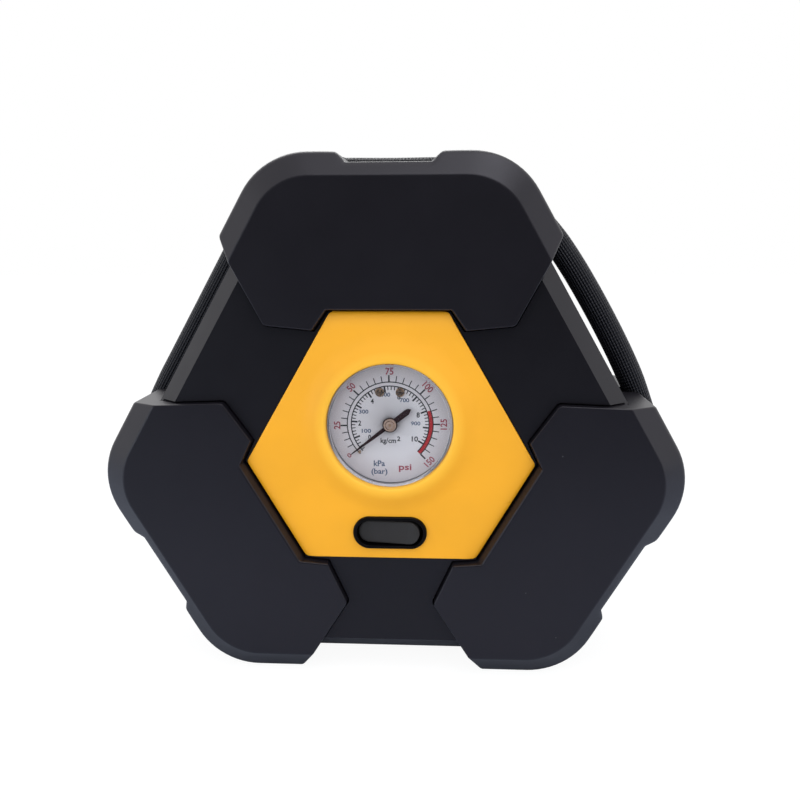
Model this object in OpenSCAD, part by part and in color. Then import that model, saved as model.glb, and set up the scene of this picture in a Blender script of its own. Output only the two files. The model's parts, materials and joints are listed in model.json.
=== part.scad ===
// Portable 12 V tire inflator that stands upright.
// A three-sided case carries three corner bumpers in front and three behind.
// The air hose lies in the groove between the front and the rear bumpers.
// Millimetres, X right, Y towards the back, Z up, origin under the middle of the case.

/* [Case] */
// Height of the case's three-fold axis above the surface it stands on
axis_h = 89.6; // [88:0.1:91]
// Depth of the whole case, front bumper face to rear bumper face
case_depth = 78; // [76:1:84]
// Distance from the axis to the three flat sides of the case
case_side = 81.8; // [80:0.1:82]
// Distance from the axis to the three cut corners of the case
case_tip = 94.6; // [92:0.1:95]
// Wall thickness of the two shells
case_wall = 2.6; // [2.2:0.1:2.8]
// How far the case face lies behind the bumper faces
face_step = 3; // [2:0.5:4]
// Width of the hose groove between the front and rear flanges
groove_w = 10; // [9.5:0.5:12]
// Thickness of each groove flange
flange_t = 3; // [2:0.5:3.5]

/* [Bumpers] */
// Distance from the axis to the flat sides of a bumper
bumper_side = 89.6; // [88:0.1:91]
// Distance from the axis to the outer end of a bumper
bumper_tip = 103.2; // [101:0.1:104]
// Width of the bevel round the outside of a bumper, seen from the front
bevel_w = 8.5; // [6:0.5:9]
// Depth of that bevel
bevel_d = 7; // [5:0.5:7.5]
// Thickness of a bumper's walls
bumper_wall = 3; // [2.5:0.1:3.5]
// Width of the finger notch at its mouth
notch_w = 36.2; // [30:1:40]
// Depth of the finger notch
notch_d = 3.8; // [3:0.1:4.5]
// Open joint between a bumper and the case face
moat = 0.6; // [0.4:0.1:2.5]

/* [Front panel] */
// Distance from the axis to the long edges of the front panel
panel_side = 42.3; // [41:0.1:43]
// Distance from the axis to the short edges of the front panel
panel_tip = 48.8; // [47:0.1:49]
// Height of the pressure gauge's centre above the case axis
gauge_up = 7.6; // [6:0.1:9]
// Radius of the panel's gauge opening
gauge_r = 22.9; // [22.8:0.1:23.4]
// Height of the switch's centre above the case axis
switch_up = -32.3; // [-33:0.1:-31]
// Length of the switch bezel
switch_w = 27.2; // [26.5:0.1:28]
// Height of the switch bezel
switch_h = 12.3; // [12:0.1:13]

/* [Gauge works] */
// Angle of the needle at zero, counter-clockwise from three o'clock
needle_zero = 218; // [215:1:225]
// Teeth of the pinion on the needle arbor
arbor_teeth = 10; // [10:1:12]
// Teeth that the sector would have as a full wheel
sector_teeth = 80; // [80:1:82]
// Tooth module of the gauge works
gauge_module = 0.4; // [0.39:0.01:0.4]

/* [Pump] */
// Outer radius of the motor can
motor_r = 17.9; // [16:0.1:18]
// Teeth of the motor pinion
pinion_teeth = 11; // [11:1:12]
// Teeth of the crank gear
crank_teeth = 45; // [42:1:46]
// Tooth module of the pump gears
pump_module = 0.8; // [0.75:0.05:0.8]
// Distance from the crank axis to the crank pin
crank_throw = 6; // [5:0.5:6]
// Bore radius of the cylinder
bore_r = 10; // [9:0.5:10]

/* [Hose] */
// Outer diameter of the braided air hose
hose_d = 8.5; // [8:0.1:8.6]
// Radius of the tire chuck's body
chuck_r = 6.5; // [6:0.1:6.6]

/* [Hidden] */

$fn = 48;
front_y = -case_depth / 2;
face_y = front_y + face_step;
flange_y = -groove_w / 2 - flange_t;
seat_y = front_y + 9;
case_bevel_w = 6.3;
case_bevel_d = 7.3;
cavity_y = seat_y + case_wall;
deep_y = face_y + 2 + case_wall;
panel_y = front_y + 2;
panel_t = 3;
panel_seat_y = panel_y + panel_t;
lobes = [0, 120, 240];
screw_x = 33;
screw_z = 72;
screw_r = 1.5;
bay_w = 34.7;
bay_top = -64;
bay_front_y = -8.6;
mouth_w = 13.5;
hose_floor = -77.8;
hose_end_z = -82.5;
pump_y = 9;
motor_z = -40;
crank_z = motor_z + pump_module * (pinion_teeth + crank_teeth) / 2;
rod_x = 18;
shelf_z = 8;
head_z = 38;
mount_spots = [[-8, -6], [14.5, -54], [32, 2]];
chuck_x = -4;
outlet_x = 28.5;
gland_z = -54.8;

// ---------- helpers: frames, outlines and solids ----------

// Moves what is drawn about the case axis up to its real height
module on_axis() translate([0, 0, axis_h]) children();

// Extrudes an outline drawn in the front view (x, z) from y0 back to y1
module across(y0, y1)
  translate([0, y1, 0])
    rotate([90, 0, 0])
      linear_extrude(y1 - y0)
        children();

// Extrudes an outline drawn in the side view (y, z) from x0 to x1
module along_x(x0, x1)
  translate([x0, 0, 0])
    rotate([90, 0, 90])
      linear_extrude(x1 - x0)
        children();

// Turns a profile of [radius, y] points about the Y axis
module turned(profile)
  rotate([-90, 0, 0])
    rotate_extrude($fn = 96)
      polygon(profile);

module rod_y(r, y0, y1)
  translate([0, y0, 0])
    rotate([-90, 0, 0])
      cylinder(r = r, h = y1 - y0);

module rod_x(r, x0, x1)
  translate([x0, 0, 0])
    rotate([0, 90, 0])
      cylinder(r = r, h = x1 - x0);

module rod_z(r, z0, z1)
  translate([0, 0, z0])
    cylinder(r = r, h = z1 - z0);

// A slot with round ends, length w and height h
module stadium(w, h)
  union() {
    square([w - h, h], center = true);
    for (side = [-1, 1])
      translate([side * (w - h) / 2, 0])
        circle(d = h);
  }

// Point where the line at distance d1 along angle a meets the one at d2 along angle b
function meet(a, d1, b, d2) =
  [sin(b) * d1 - sin(a) * d2, cos(a) * d2 - cos(b) * d1] / sin(b - a);

// Six corners of a three-fold outline: sides at 30, 150, 270 degrees, tips between them
function six_corners(side, tip) =
  [for (k = [0:5])
    let(a = 30 + 60 * k, even = k % 2 == 0)
    meet(a, even ? side : tip, a + 60, even ? tip : side)];

function unit(v) = v / norm(v);
function inward(p, q) = let(u = unit(q - p)) [-u[1], u[0]];

// Moves each edge of an outline inwards by its own distance; edge i runs from corner i
function shifted(corners, d) =
  let(n = len(corners))
  [for (i = [0:n - 1])
    let(before = (i + n - 1) % n, a = inward(corners[before], corners[i]),
      b = inward(corners[i], corners[(i + 1) % n]))
    corners[i] + [b[1] * d[before] - a[1] * d[i], a[0] * d[i] - b[0] * d[before]]
      / (a[0] * b[1] - a[1] * b[0])];

// Replaces each corner by an arc of its own radius
function rounded(corners, radii, steps = 6) =
  let(n = len(corners))
  [for (i = [0:n - 1])
    let(c = corners[i], u = unit(corners[(i + n - 1) % n] - c), v = unit(corners[(i + 1) % n] - c),
      half = acos(u * v) / 2, r = max(radii[i], 0.05), mid = c + unit(u + v) * r / sin(half),
      start = c + u * r / tan(half) - mid, turn = sign(u[0] * v[1] - u[1] * v[0]) * (180 - 2 * half))
    for (s = [0:steps])
      let(a = -turn * s / steps)
      mid + [start[0] * cos(a) - start[1] * sin(a), start[0] * sin(a) + start[1] * cos(a)]];

function repeat(value, count) = [for (i = [1:count]) value];
function case_outline(side, tip, r) = rounded(six_corners(side, tip), repeat(r, 6), 8);

// Closed skin through outlines that are stacked from front to back: [[y, outline], ...]
module skin(rings) {
  n = len(rings[0][1]);
  last = len(rings) - 1;
  polyhedron(
    points = [for (ring = rings) for (p = ring[1]) [p[0], ring[0], p[1]]],
    faces = concat(
      [[for (j = [n - 1:-1:0]) j]],
      [for (i = [0:last - 1]) for (j = [0:n - 1])
        let(k = (j + 1) % n)
        each [[i * n + j, i * n + k, (i + 1) * n + k], [i * n + j, (i + 1) * n + k, (i + 1) * n + j]]],
      [[for (j = [0:n - 1]) last * n + j]]),
    convexity = 6);
}

// Smooth curve through points, each span cut into equal steps
function smooth(points, cuts) =
  let(n = len(points))
  [for (i = [0:n - 2]) for (s = [0:cuts - 1])
    let(p0 = points[max(i - 1, 0)], p1 = points[i], p2 = points[i + 1],
      p3 = points[min(i + 2, n - 1)], t = s / cuts)
    0.5 * (2 * p1 + (p2 - p0) * t + (2 * p0 - 5 * p1 + 4 * p2 - p3) * t * t
      + (3 * p1 - p0 - 3 * p2 + p3) * t * t * t),
    points[n - 1]];

// Tube swept along points; side is a direction that the route never runs along
module swept(points, r, sides, side) {
  n = len(points);
  polyhedron(
    points = [for (i = [0:n - 1])
      let(t = unit(points[min(i + 1, n - 1)] - points[max(i - 1, 0)]),
        u = unit(cross(t, side)), v = cross(t, u))
      for (k = [0:sides - 1])
        let(a = 360 * k / sides)
        points[i] + r * (cos(a) * u + sin(a) * v)],
    faces = concat(
      [[for (k = [sides - 1:-1:0]) k]],
      [for (i = [0:n - 2]) for (k = [0:sides - 1])
        let(m = (k + 1) % sides)
        each [[i * sides + k, i * sides + m, (i + 1) * sides + m],
          [i * sides + k, (i + 1) * sides + m, (i + 1) * sides + k]]],
      [[for (k = [0:sides - 1]) (n - 1) * sides + k]]));
}

// Half the angle that an involute tooth spans at radius rho, thinned by slack
function tooth_half(m, teeth, rho, slack) =
  let(base = m * teeth / 2 * cos(20), inv = tan(20) - 20 * PI / 180,
    c = min(base / rho, 1), roll = tan(acos(c)) - acos(c) * PI / 180)
  90 / teeth + (inv - roll) * 180 / PI - slack / (m * teeth / 2) * 180 / PI;

// Gear outline with involute teeth; the first tooth points along +X
module gear_outline(m, teeth, first, last, slack, tip, root) {
  pitch_r = m * teeth / 2;
  radii = [for (k = [0:4]) pitch_r - root * m + (tip + root) * m * k / 4];
  polygon([for (i = [first:last])
    each concat(
      [for (k = [0:4])
        let(a = 360 * i / teeth - tooth_half(m, teeth, radii[k], slack))
        radii[k] * [cos(a), sin(a)]],
      [for (k = [4:-1:0])
        let(a = 360 * i / teeth + tooth_half(m, teeth, radii[k], slack))
        radii[k] * [cos(a), sin(a)]])]);
}

// ---------- case ----------

// Corners of the top bumper's outline, counter-clockwise from its lower right end
bumper_end = meet(30, bumper_side, 120, 34.7);
bumper_half = [[26.6, 42.2], [43.9, 43.9], bumper_end, meet(30, bumper_side, 90, bumper_tip)];
bumper_corners = concat(bumper_half, [for (i = [3:-1:0]) [-bumper_half[i][0], bumper_half[i][1]]]);

// Outline with its inner, side and tip edges moved in by their own distances
function bumper_outline(inner, side, tip, corner_r) =
  rounded(
    shifted(bumper_corners, [inner, inner, side, tip, side, inner, inner, inner]),
    [1.6, 2.2, 1.6, corner_r, corner_r, 1.6, 2.2, 1.6], 5);

// Outline of the bay where the front panel's short edge enters a bumper
function panel_bay(end_grow, side_grow) =
  rounded(
    shifted([[21.4, 49.7], [-21.4, 49.7], [-29.5, 38], [29.5, 38]],
      [-end_grow, -side_grow, 0, -side_grow]),
    [0.8, 0.8, 0, 0], 4);

module notch(y0, y1)
  across(y0, y1)
    polygon([
      [-notch_w / 2 - 2, bumper_tip + 2],
      [-notch_w / 2 + 3.4, bumper_tip - notch_d],
      [notch_w / 2 - 3.4, bumper_tip - notch_d],
      [notch_w / 2 + 2, bumper_tip + 2]]);

// Hollow of a bumper, less the wall that stays round the panel bay
module bumper_hollow() {
  bevel_hollow = bevel_w + 1;
  tip_wall = bumper_tip - case_tip;
  difference() {
    skin([
      [front_y + bumper_wall, bumper_outline(bumper_wall, bevel_hollow, bevel_hollow, 18)],
      [front_y + bevel_d + 2, bumper_outline(bumper_wall, bumper_wall, tip_wall, 18)],
      [flange_y + 1, bumper_outline(bumper_wall, bumper_wall, tip_wall, 18)]]);
    across(front_y, flange_y + 2)
      polygon(panel_bay(bumper_wall, bumper_wall));
  }
}

// How far the end of a bumper's panel bay is moved out, at its face and behind it
function bay_ease(turn) = turn == 0 ? [-0.2, -0.4] : [1.4, 0];

// One hollow corner bumper, drawn at the top of the case with its face to the front
module bumper(turn)
  difference() {
    skin([
      [front_y, bumper_outline(0.4, bevel_w, bevel_w, 22)],
      [front_y + 0.4, bumper_outline(0, bevel_w - 0.5, bevel_w - 0.5, 22)],
      [front_y + bevel_d, bumper_outline(0, 0, 0, 27)],
      [flange_y, bumper_outline(0, 0, 0, 27)]]);
    skin([
      [front_y - 0.2, panel_bay(bay_ease(turn)[0], 0.4)],
      [front_y + face_step, panel_bay(bay_ease(turn)[1], 0)],
      [flange_y + 1, panel_bay(bay_ease(turn)[1], 0)]]);
    bumper_hollow();
    across(seat_y, flange_y + 1)
      polygon(case_outline(case_side + 0.15, case_tip + 0.15, 26));
    notch(front_y - 1, flange_y + 1);
  }

module front_bumper(turn)
  color("#2b2b33")
    on_axis()
      rotate([0, turn, 0])
        bumper(turn);

module rear_bumper(turn)
  color("#2b2b33")
    on_axis()
      rotate([0, turn, 0])
        difference() {
          mirror([0, 1, 0]) bumper(turn);
          for (side = [-1, 1])
            translate([side * screw_x, 0, screw_z])
              rod_y(3.6, 20, 40);
        }

// Solid form of half the case: bevelled sides, cut corners and the groove flanges
module half_form()
  difference() {
    union() {
      across(face_y, 0)
        polygon(case_outline(case_side, case_tip, 26));
      for (turn = lobes)
        rotate([0, turn, 0])
          difference() {
            across(flange_y, flange_y + flange_t)
              polygon(bumper_outline(0, 0, 0, 27));
            notch(flange_y - 1, 0);
          }
    }
    for (turn = lobes)
      rotate([0, turn + 60, 0])
        translate([0, face_y, case_side - case_bevel_w])
          rotate([atan2(case_bevel_w, case_bevel_d), 0, 0])
            translate([-80, -20, 0])
              cube([160, 40, 20]);
    for (turn = lobes)
      rotate([0, turn, 0])
        across(front_y, seat_y)
          difference() {
            polygon(bumper_outline(-moat, -20, -20, 4));
            polygon(panel_bay(-moat - 0.4, -moat));
          }
    across(front_y, panel_seat_y)
      polygon(rounded(six_corners(panel_side + 0.25, panel_tip + 0.25), repeat(3, 6), 4));
  }

// Hollow of half the case, less the ribs and bosses that stay
module half_hollow()
  difference() {
    union() {
      across(cavity_y, 1)
        polygon(case_outline(case_side - case_wall, case_tip - case_wall, 23));
      rod_y(38, deep_y, 0);
    }
    for (turn = lobes, side = [-1, 1])
      rotate([0, turn, 0])
        translate([side * screw_x, 0, screw_z])
          rod_y(4.2, front_y, 2);
    translate([-75, -8, -90])
      cube([150, 10, 90 + hose_floor + case_wall]);
    translate([-bay_w - case_wall, bay_front_y - case_wall, -90])
      cube([2 * (bay_w + case_wall), 12, 90 + bay_top + case_wall]);
  }

// Space that the hose and the stowed chuck take from the underside of both shells
module underside_cut(y0, y1) {
  translate([-75, -groove_w / 2 - 0.2, -95])
    cube([150, groove_w + 0.4, 95 + hose_floor]);
  translate([-bay_w, y0, -95])
    cube([2 * bay_w, y1 - y0, 95 + bay_top]);
}

module front_shell()
  color("#1c1b20")
    on_axis()
      difference() {
        half_form();
        half_hollow();
        underside_cut(bay_front_y, 1);
        translate([0, 0, gauge_up]) {
          rod_y(24.2, front_y, 0);
          rod_y(26.2, front_y, panel_seat_y + 1.5);
        }
        translate([0, 0, switch_up])
          across(front_y, 0)
            stadium(switch_w - 1.2, switch_h - 0.4);
        for (turn = lobes, side = [-1, 1])
          rotate([0, turn, 0])
            translate([side * screw_x, 0, screw_z])
              rod_y(screw_r, -16, 1);
      }

module rear_shell()
  color("#1c1b20")
    on_axis()
      difference() {
        mirror([0, 1, 0]) half_form();
        difference() {
          mirror([0, 1, 0]) half_hollow();
          translate([-bay_w - case_wall, -1, -90])
            cube([2 * (bay_w + case_wall), 45, 90 + bay_top + case_wall]);
          for (spot = mount_spots)
            translate([spot[0], 0, spot[1]])
              rod_y(5, -cavity_y, 36);
        }
        underside_cut(-1, -cavity_y);
        across(-cavity_y - 1, 45)
          polygon([
            [-mouth_w, bay_top],
            [-mouth_w - 19.5, -95],
            [mouth_w + 19.5, -95],
            [mouth_w, bay_top]]);
        for (window = [-30, 8])
          translate([window, 20, -26])
            cube([16, 20, 52]);
        for (spot = mount_spots)
          translate([spot[0], 0, spot[1]])
            rod_y(screw_r, 20, 32.5);
        translate([0, 0, gland_z])
          rod_y(5, 20, 45);
        translate([outlet_x, 5, bay_top - 1])
          rod_z(4, 0, 10);
        for (turn = lobes, side = [-1, 1])
          rotate([0, turn, 0])
            translate([side * screw_x, 0, screw_z])
              rod_y(screw_r + 0.2, -1, 31);
      }

module case_screws()
  color("#6f7276")
    on_axis()
      for (turn = lobes, side = [-1, 1])
        rotate([0, turn, 0])
          translate([side * screw_x, 0, screw_z]) {
            rod_y(screw_r, -15, -seat_y);
            difference() {
              rod_y(2.8, -seat_y, -seat_y + 2.2);
              for (a = [0, 90])
                rotate([0, a, 0])
                  translate([-1.6, -seat_y + 1, -0.4])
                    cube([3.2, 2, 0.8]);
            }
          }

// ---------- panels ----------

function panel_outline(inset) =
  rounded(six_corners(panel_side, panel_tip - inset), repeat(2.6, 6), 4);

// Raised collar round the gauge, falling softly to the panel
module gauge_collar()
  turned([
    [gauge_r, panel_y + 1],
    [gauge_r, panel_y - 1.2],
    [gauge_r + 0.7, panel_y - 1.75],
    [gauge_r + 2.2, panel_y - 1.9],
    [gauge_r + 4.5, panel_y - 1.6],
    [gauge_r + 8, panel_y - 0.8],
    [gauge_r + 12.5, panel_y],
    [gauge_r + 12.5, panel_y + 1]]);

module front_panel()
  color("#f7b334")
    on_axis()
      difference() {
        intersection() {
          union() {
            skin([
              [panel_y, panel_outline(4.5)],
              [panel_y + 0.7, panel_outline(1.6)],
              [panel_y + 2, panel_outline(0)],
              [panel_seat_y, panel_outline(0)]]);
            translate([0, 0, gauge_up])
              gauge_collar();
          }
          across(front_y, panel_seat_y)
            polygon(panel_outline(0));
        }
        translate([0, 0, gauge_up])
          rod_y(gauge_r, front_y - 1, panel_seat_y + 1);
        translate([0, 0, switch_up])
          across(front_y, panel_seat_y + 1)
            stadium(switch_w - 1.4, switch_h - 0.6);
      }

// Rear panel with louvre slots that lead the cooling air over the motor
module rear_grille()
  color("#1c1b20")
    on_axis()
      difference() {
        across(-panel_seat_y, -panel_y)
          polygon(panel_outline(0));
        for (row = [-4:4])
          translate([0, 0, row * 7])
            across(-panel_seat_y - 1, -panel_y + 1)
              stadium(62 - abs(row) * 4, 3);
      }

// ---------- gauge ----------

module on_gauge() on_axis() translate([0, 0, gauge_up]) children();

dial_y = panel_seat_y + 1.4;
dial_screw_x = 3.66;
dial_screw_z = 11.8;
stop_angle = needle_zero + 4.5;
stop_r = 15;

module gauge_case()
  color("#8f9296")
    on_gauge() {
      difference() {
        turned([
          [0, -16], [20.5, -16], [20.5, -23], [20.5, dial_y + 2], [20.5, dial_y + 0.5],
          [21.95, dial_y + 0.5], [21.95, panel_seat_y], [26, panel_seat_y],
          [26, panel_seat_y + 1.5], [24, panel_seat_y + 1.5], [24, -14], [0, -14]]);
        translate([-14, 0, -8])
          rod_y(3, -17, -13);
      }
      translate([-14, 0, -8])
        difference() {
          union() {
            rod_y(3, -16, -10);
            rod_y(2, -10, -6);
          }
          rod_y(1, -17, -5);
        }
    }

module gauge_dial()
  color("#b5b5be")
    on_gauge()
      difference() {
        rod_y(21.8, dial_y, dial_y + 0.5);
        rod_y(1.2, dial_y - 1, dial_y + 1);
        for (side = [-1, 1])
          translate([side * dial_screw_x, 0, dial_screw_z])
            rod_y(0.6, dial_y - 1, dial_y + 1);
        rotate([0, -stop_angle, 0])
          translate([stop_r, 0, 0])
            rod_y(0.45, dial_y - 1, dial_y + 1);
      }

module dial_screws()
  color("#c9a85f")
    on_gauge()
      for (side = [-1, 1])
        translate([side * dial_screw_x, 0, dial_screw_z]) {
          rod_y(0.6, dial_y, -24.5);
          difference() {
            rod_y(1.6, dial_y - 0.6, dial_y);
            translate([-1.7, dial_y - 0.7, -0.2])
              cube([3.4, 0.4, 0.4]);
          }
        }

// Pin in the dial that the needle rests against at zero
module stop_pin()
  color("#c9a85f")
    on_gauge()
      rotate([0, -stop_angle, 0])
        translate([stop_r, 0, 0])
          rod_y(0.45, dial_y - 1.8, dial_y + 0.5);

// Flat-section tube bent round the inside of the gauge case
module bourdon_tube()
  color("#b98d4a")
    on_gauge()
      rotate([-90, 0, 0])
        rotate([0, 0, 80])
          rotate_extrude(angle = 250)
            translate([17.6, -19.5])
              difference() {
                square([1.6, 4], center = true);
                square([0.8, 3.2], center = true);
              }

module movement_plate()
  color("#c2a060")
    on_gauge()
      difference() {
        union() {
          across(-24.5, -23.5)
            union() {
              translate([0, -6]) square([9, 28], center = true);
              translate([0, dial_screw_z]) square([13, 5], center = true);
              translate([0, 8.5]) square([5, 6], center = true);
            }
          translate([-4.5, -24, -20])
            cube([9, 8, 5]);
          for (side = [-1, 1])
            translate([side * 5.2, 0, dial_screw_z])
              rod_y(1.2, -24, -16);
          translate([0, 0, -gauge_module * (arbor_teeth + sector_teeth) / 2])
            rod_y(1, -27.6, -24);
        }
        rod_y(0.86, -26, -22);
      }

module sector_gear()
  color("#d0ad62")
    on_gauge()
      translate([0, 0, -gauge_module * (arbor_teeth + sector_teeth) / 2])
        difference() {
          union() {
            intersection() {
              across(-27, -26)
                rotate([0, 0, 90])
                  gear_outline(gauge_module, sector_teeth, 0, sector_teeth - 1, 0.05, 0.8, 1.3);
              across(-28, -25)
                polygon([[1.6, 8], [-1.6, 18], [3, 20], [20, 14], [13, 9]]);
            }
            across(-27, -26)
              polygon([[-1.4, 0], [1.4, -0.6], [9.5, 9.6], [6.5, 12], [1.4, 13.2]]);
            rod_y(2.2, -27, -26);
          }
          rod_y(1.05, -28, -25);
          across(-28, -25)
            polygon([[1.5, 4.5], [6, 10.2], [2.2, 11.6]]);
        }

module needle_arbor()
  color("#d9c28a")
    on_gauge() {
      rod_y(0.8, -34.1, -22.8);
      rod_y(2.3, -34.5, -34.1);
      across(-27.5, -25.5)
        rotate([0, 0, -90 + 180 / arbor_teeth])
          gear_outline(gauge_module, arbor_teeth, 0, arbor_teeth - 1, 0.05, 0.8, 1.2);
    }

module needle()
  color("#1a1a1c")
    on_gauge()
      difference() {
        union() {
          across(-34.1, -33.7)
            rotate(needle_zero)
              polygon([[18.2, 0.1], [13, 0.38], [9, 0.55], [3, 0.72], [-3, 1], [-7.8, 1.1],
                [-9.6, 0.2], [-8.9, -0.7], [-7.8, -1.1], [-3, -1], [3, -0.72], [9, -0.55],
                [13, -0.38], [18.2, -0.1]]);
          rod_y(2.7, -34.1, -33.7);
          rod_y(1.6, -34.1, -33.3);
        }
        rod_y(0.8, -35, -33);
      }

module gauge_lens()
  color([0.9, 0.93, 0.95, 0.35])
    on_gauge()
      turned([
        [0, panel_seat_y - 2.6], [20.6, panel_seat_y - 2.6], [20.9, panel_seat_y - 2.9],
        [22.3, panel_seat_y - 2.9], [22.6, panel_seat_y - 2.6], [22.6, panel_seat_y],
        [21.2, panel_seat_y], [21.2, panel_seat_y - 1.2], [0, panel_seat_y - 1.2]]);

// ---------- switch ----------

module on_switch() on_axis() translate([0, 0, switch_up]) children();

rocker_y = panel_y + 3.6;
rocker_tilt = 7;

module switch_housing()
  color("#121214")
    on_switch()
      difference() {
        union() {
          across(panel_y - 1.3, panel_y)
            stadium(switch_w, switch_h);
          across(panel_y, -16)
            stadium(switch_w - 1.8, switch_h - 1);
        }
        across(panel_y - 2, -26)
          stadium(23.8, 9.4);
        translate([0, rocker_y, 0])
          rod_z(1.05, -5.3, 5.3);
      }

module switch_rocker()
  color("#2d2c2a")
    on_switch()
      translate([0, rocker_y, 0])
        rotate([0, 0, -rocker_tilt])
          union() {
            difference() {
              across(-4.1, 3)
                stadium(22.6, 8.8);
              translate([0, -63.3, 0])
                rod_z(60, -6, 6, $fn = 160);
            }
            rod_z(1, -5.2, 5.2);
          }

module switch_terminals()
  color("#c79a4b")
    on_switch()
      for (side = [-1, 1])
        translate([side * 5 - 0.4, -16, -2.4])
          cube([0.8, 6, 4.8]);

// ---------- pump ----------

module on_motor() on_axis() translate([0, pump_y, motor_z]) children();
module on_crank() on_axis() translate([0, pump_y, crank_z]) children();
module on_cylinder() on_axis() translate([rod_x, pump_y, 0]) children();

module motor_can()
  color("#9a9da1")
    on_motor()
      difference() {
        union() {
          rod_x(motor_r, -49, -2);
          rod_x(6.4, -2, 1.5);
        }
        rod_x(motor_r - 1.2, -50, -4);
        rod_x(1.65, -5, 2);
        for (a = [0, 180])
          rotate([a, 0, 0])
            translate([0, 10, 0])
              rod_x(1.5, -5, 0);
      }

module motor_magnets()
  color("#3a3a3e")
    on_motor()
      along_x(-44, -10)
        for (side = [-1, 1])
          intersection() {
            difference() {
              circle(r = motor_r - 1.2);
              circle(r = 13.4);
            }
            polygon([[0, 0], [side * 30, -30], [side * 30, 30]]);
          }

module motor_endcap()
  color("#d8d5cc")
    on_motor()
      difference() {
        union() {
          rod_x(motor_r, -52, -49);
          rod_x(5, -54, -51);
          for (side = [-1, 1])
            translate([-56, side * 11 - 2, -0.4])
              cube([5, 4, 0.8]);
        }
        rod_x(1.65, -55, -48);
      }

module armature()
  color("#8a4b22")
    on_motor() {
      difference() {
        along_x(-40, -14)
          difference() {
            circle(r = 12.8);
            for (a = [30, 150, 270])
              rotate(a) {
                translate([9, 0]) square([10, 2.4], center = true);
                translate([8.4, 0]) circle(r = 3.4);
              }
          }
        rod_x(1.6, -41, -13);
      }
      difference() {
        rod_x(4, -47, -42);
        rod_x(1.6, -48, -41);
      }
    }

module motor_shaft()
  color("#c9ccd0")
    on_motor()
      rod_x(1.6, -63, 12);

module drive_pinion()
  color("#c8a45a")
    on_motor()
      difference() {
        along_x(3, 11)
          rotate(90)
            gear_outline(pump_module, pinion_teeth, 0, pinion_teeth - 1, 0.08, 0.9, 1.25);
        rod_x(1.6, 2, 12);
      }

module cooling_fan()
  color("#2a2a2c")
    on_motor()
      difference() {
        union() {
          rod_x(4.5, -63, -57);
          for (a = [0:60:300])
            rotate([a, 0, 0])
              translate([-60, 0, 9.5])
                rotate([0, 0, 35])
                  cube([1.2, 6.4, 12], center = true);
        }
        rod_x(1.6, -64, -56);
      }

// Die-cast frame: motor plate, shelf for the cylinder, gussets and three feet
module pump_frame()
  color("#a9acaf")
    on_axis()
      difference() {
        union() {
          along_x(-2, 1)
            union() {
              translate([pump_y, motor_z]) circle(r = 18.3);
              translate([pump_y - 14, motor_z]) square([29, shelf_z - motor_z]);
            }
          translate([-2, pump_y - 16, shelf_z - 3])
            cube([40, 31, 3]);
          translate([-2, pump_y - 16, shelf_z - 6])
            cube([3, 31, 4]);
          translate([-14, 21, -12])
            cube([12.5, 3, 12]);
          translate([0.5, 21, -60])
            cube([19, 3, 12]);
          translate([26, 21, -4])
            cube([12, 3, 10]);
          translate([0, pump_y, crank_z])
            rod_x(5, 0.5, 2.6);
        }
        translate([0, pump_y, motor_z]) {
          rod_x(6.4, -3, 2);
          for (a = [0, 180])
            rotate([a, 0, 0])
              translate([0, 10, 0])
                rod_x(1.6, -3, 2);
        }
        translate([0, pump_y, crank_z])
          rod_x(2.5, -3, 3);
        translate([rod_x, pump_y, 0])
          rod_z(9.4, shelf_z - 4, shelf_z + 1);
        for (spot = mount_spots)
          translate([spot[0], 0, spot[1]])
            rod_y(screw_r + 0.2, 20, 25);
      }

module gear_axle()
  color("#d5d8db")
    on_crank()
      rod_x(2.5, -2, 12.4);

module crank_gear()
  color("#e6e2d6")
    on_crank()
      difference() {
        along_x(3, 11)
          rotate(-90 + 180 / crank_teeth)
            gear_outline(pump_module, crank_teeth, 0, crank_teeth - 1, 0.08, 0.8, 1.25);
        rod_x(2.56, 2, 12);
        translate([0, 0, -crank_throw])
          rod_x(2, 8, 12);
        for (a = [60:60:300])
          rotate([a, 0, 0])
            translate([0, 0, -11])
              rod_x(3.2, 5, 12);
      }

module crank_pin()
  color("#d5d8db")
    on_crank()
      translate([0, 0, -crank_throw])
        rod_x(2, 8, 13.7);

// One-piece rod and piston head, at the bottom of its stroke
module piston_rod()
  color("#b9bcc0")
    on_cylinder() {
      difference() {
        union() {
          translate([-rod_x, 0, crank_z - crank_throw])
            rod_x(5.6, 14, 22);
          translate([-3, -3.5, crank_z - crank_throw + 4])
            cube([6, 7, 20 - crank_z + crank_throw - 4]);
          rod_z(bore_r - 0.4, 19, 24);
        }
        translate([-rod_x, 0, crank_z - crank_throw])
          rod_x(2.06, 13, 23);
        difference() {
          rod_z(bore_r + 1, 20.6, 22.4);
          rod_z(bore_r - 2, 20, 23);
        }
      }
    }

module piston_seal()
  color("#3a3f3c")
    on_cylinder()
      difference() {
        rod_z(bore_r - 0.05, 20.6, 22.4);
        rod_z(bore_r - 2, 20, 23);
      }

module pump_cylinder()
  color("#b5b8bb")
    on_cylinder()
      difference() {
        union() {
          rod_z(bore_r + 2.5, shelf_z, 36.5);
          for (z = [13, 17.5, 22, 26.5, 31])
            rod_z(15.5, z, z + 1.4);
          translate([-15, -15, shelf_z])
            cube([30, 30, 2.5]);
          translate([-15, -15, 34.5])
            cube([30, 30, 2]);
        }
        rod_z(bore_r, shelf_z - 1, 38, $fn = 96);
        for (x = [-12.2, 12.2], y = [-12.2, 12.2])
          translate([x, y, 0])
            rod_z(screw_r, shelf_z - 1, 38);
      }

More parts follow.
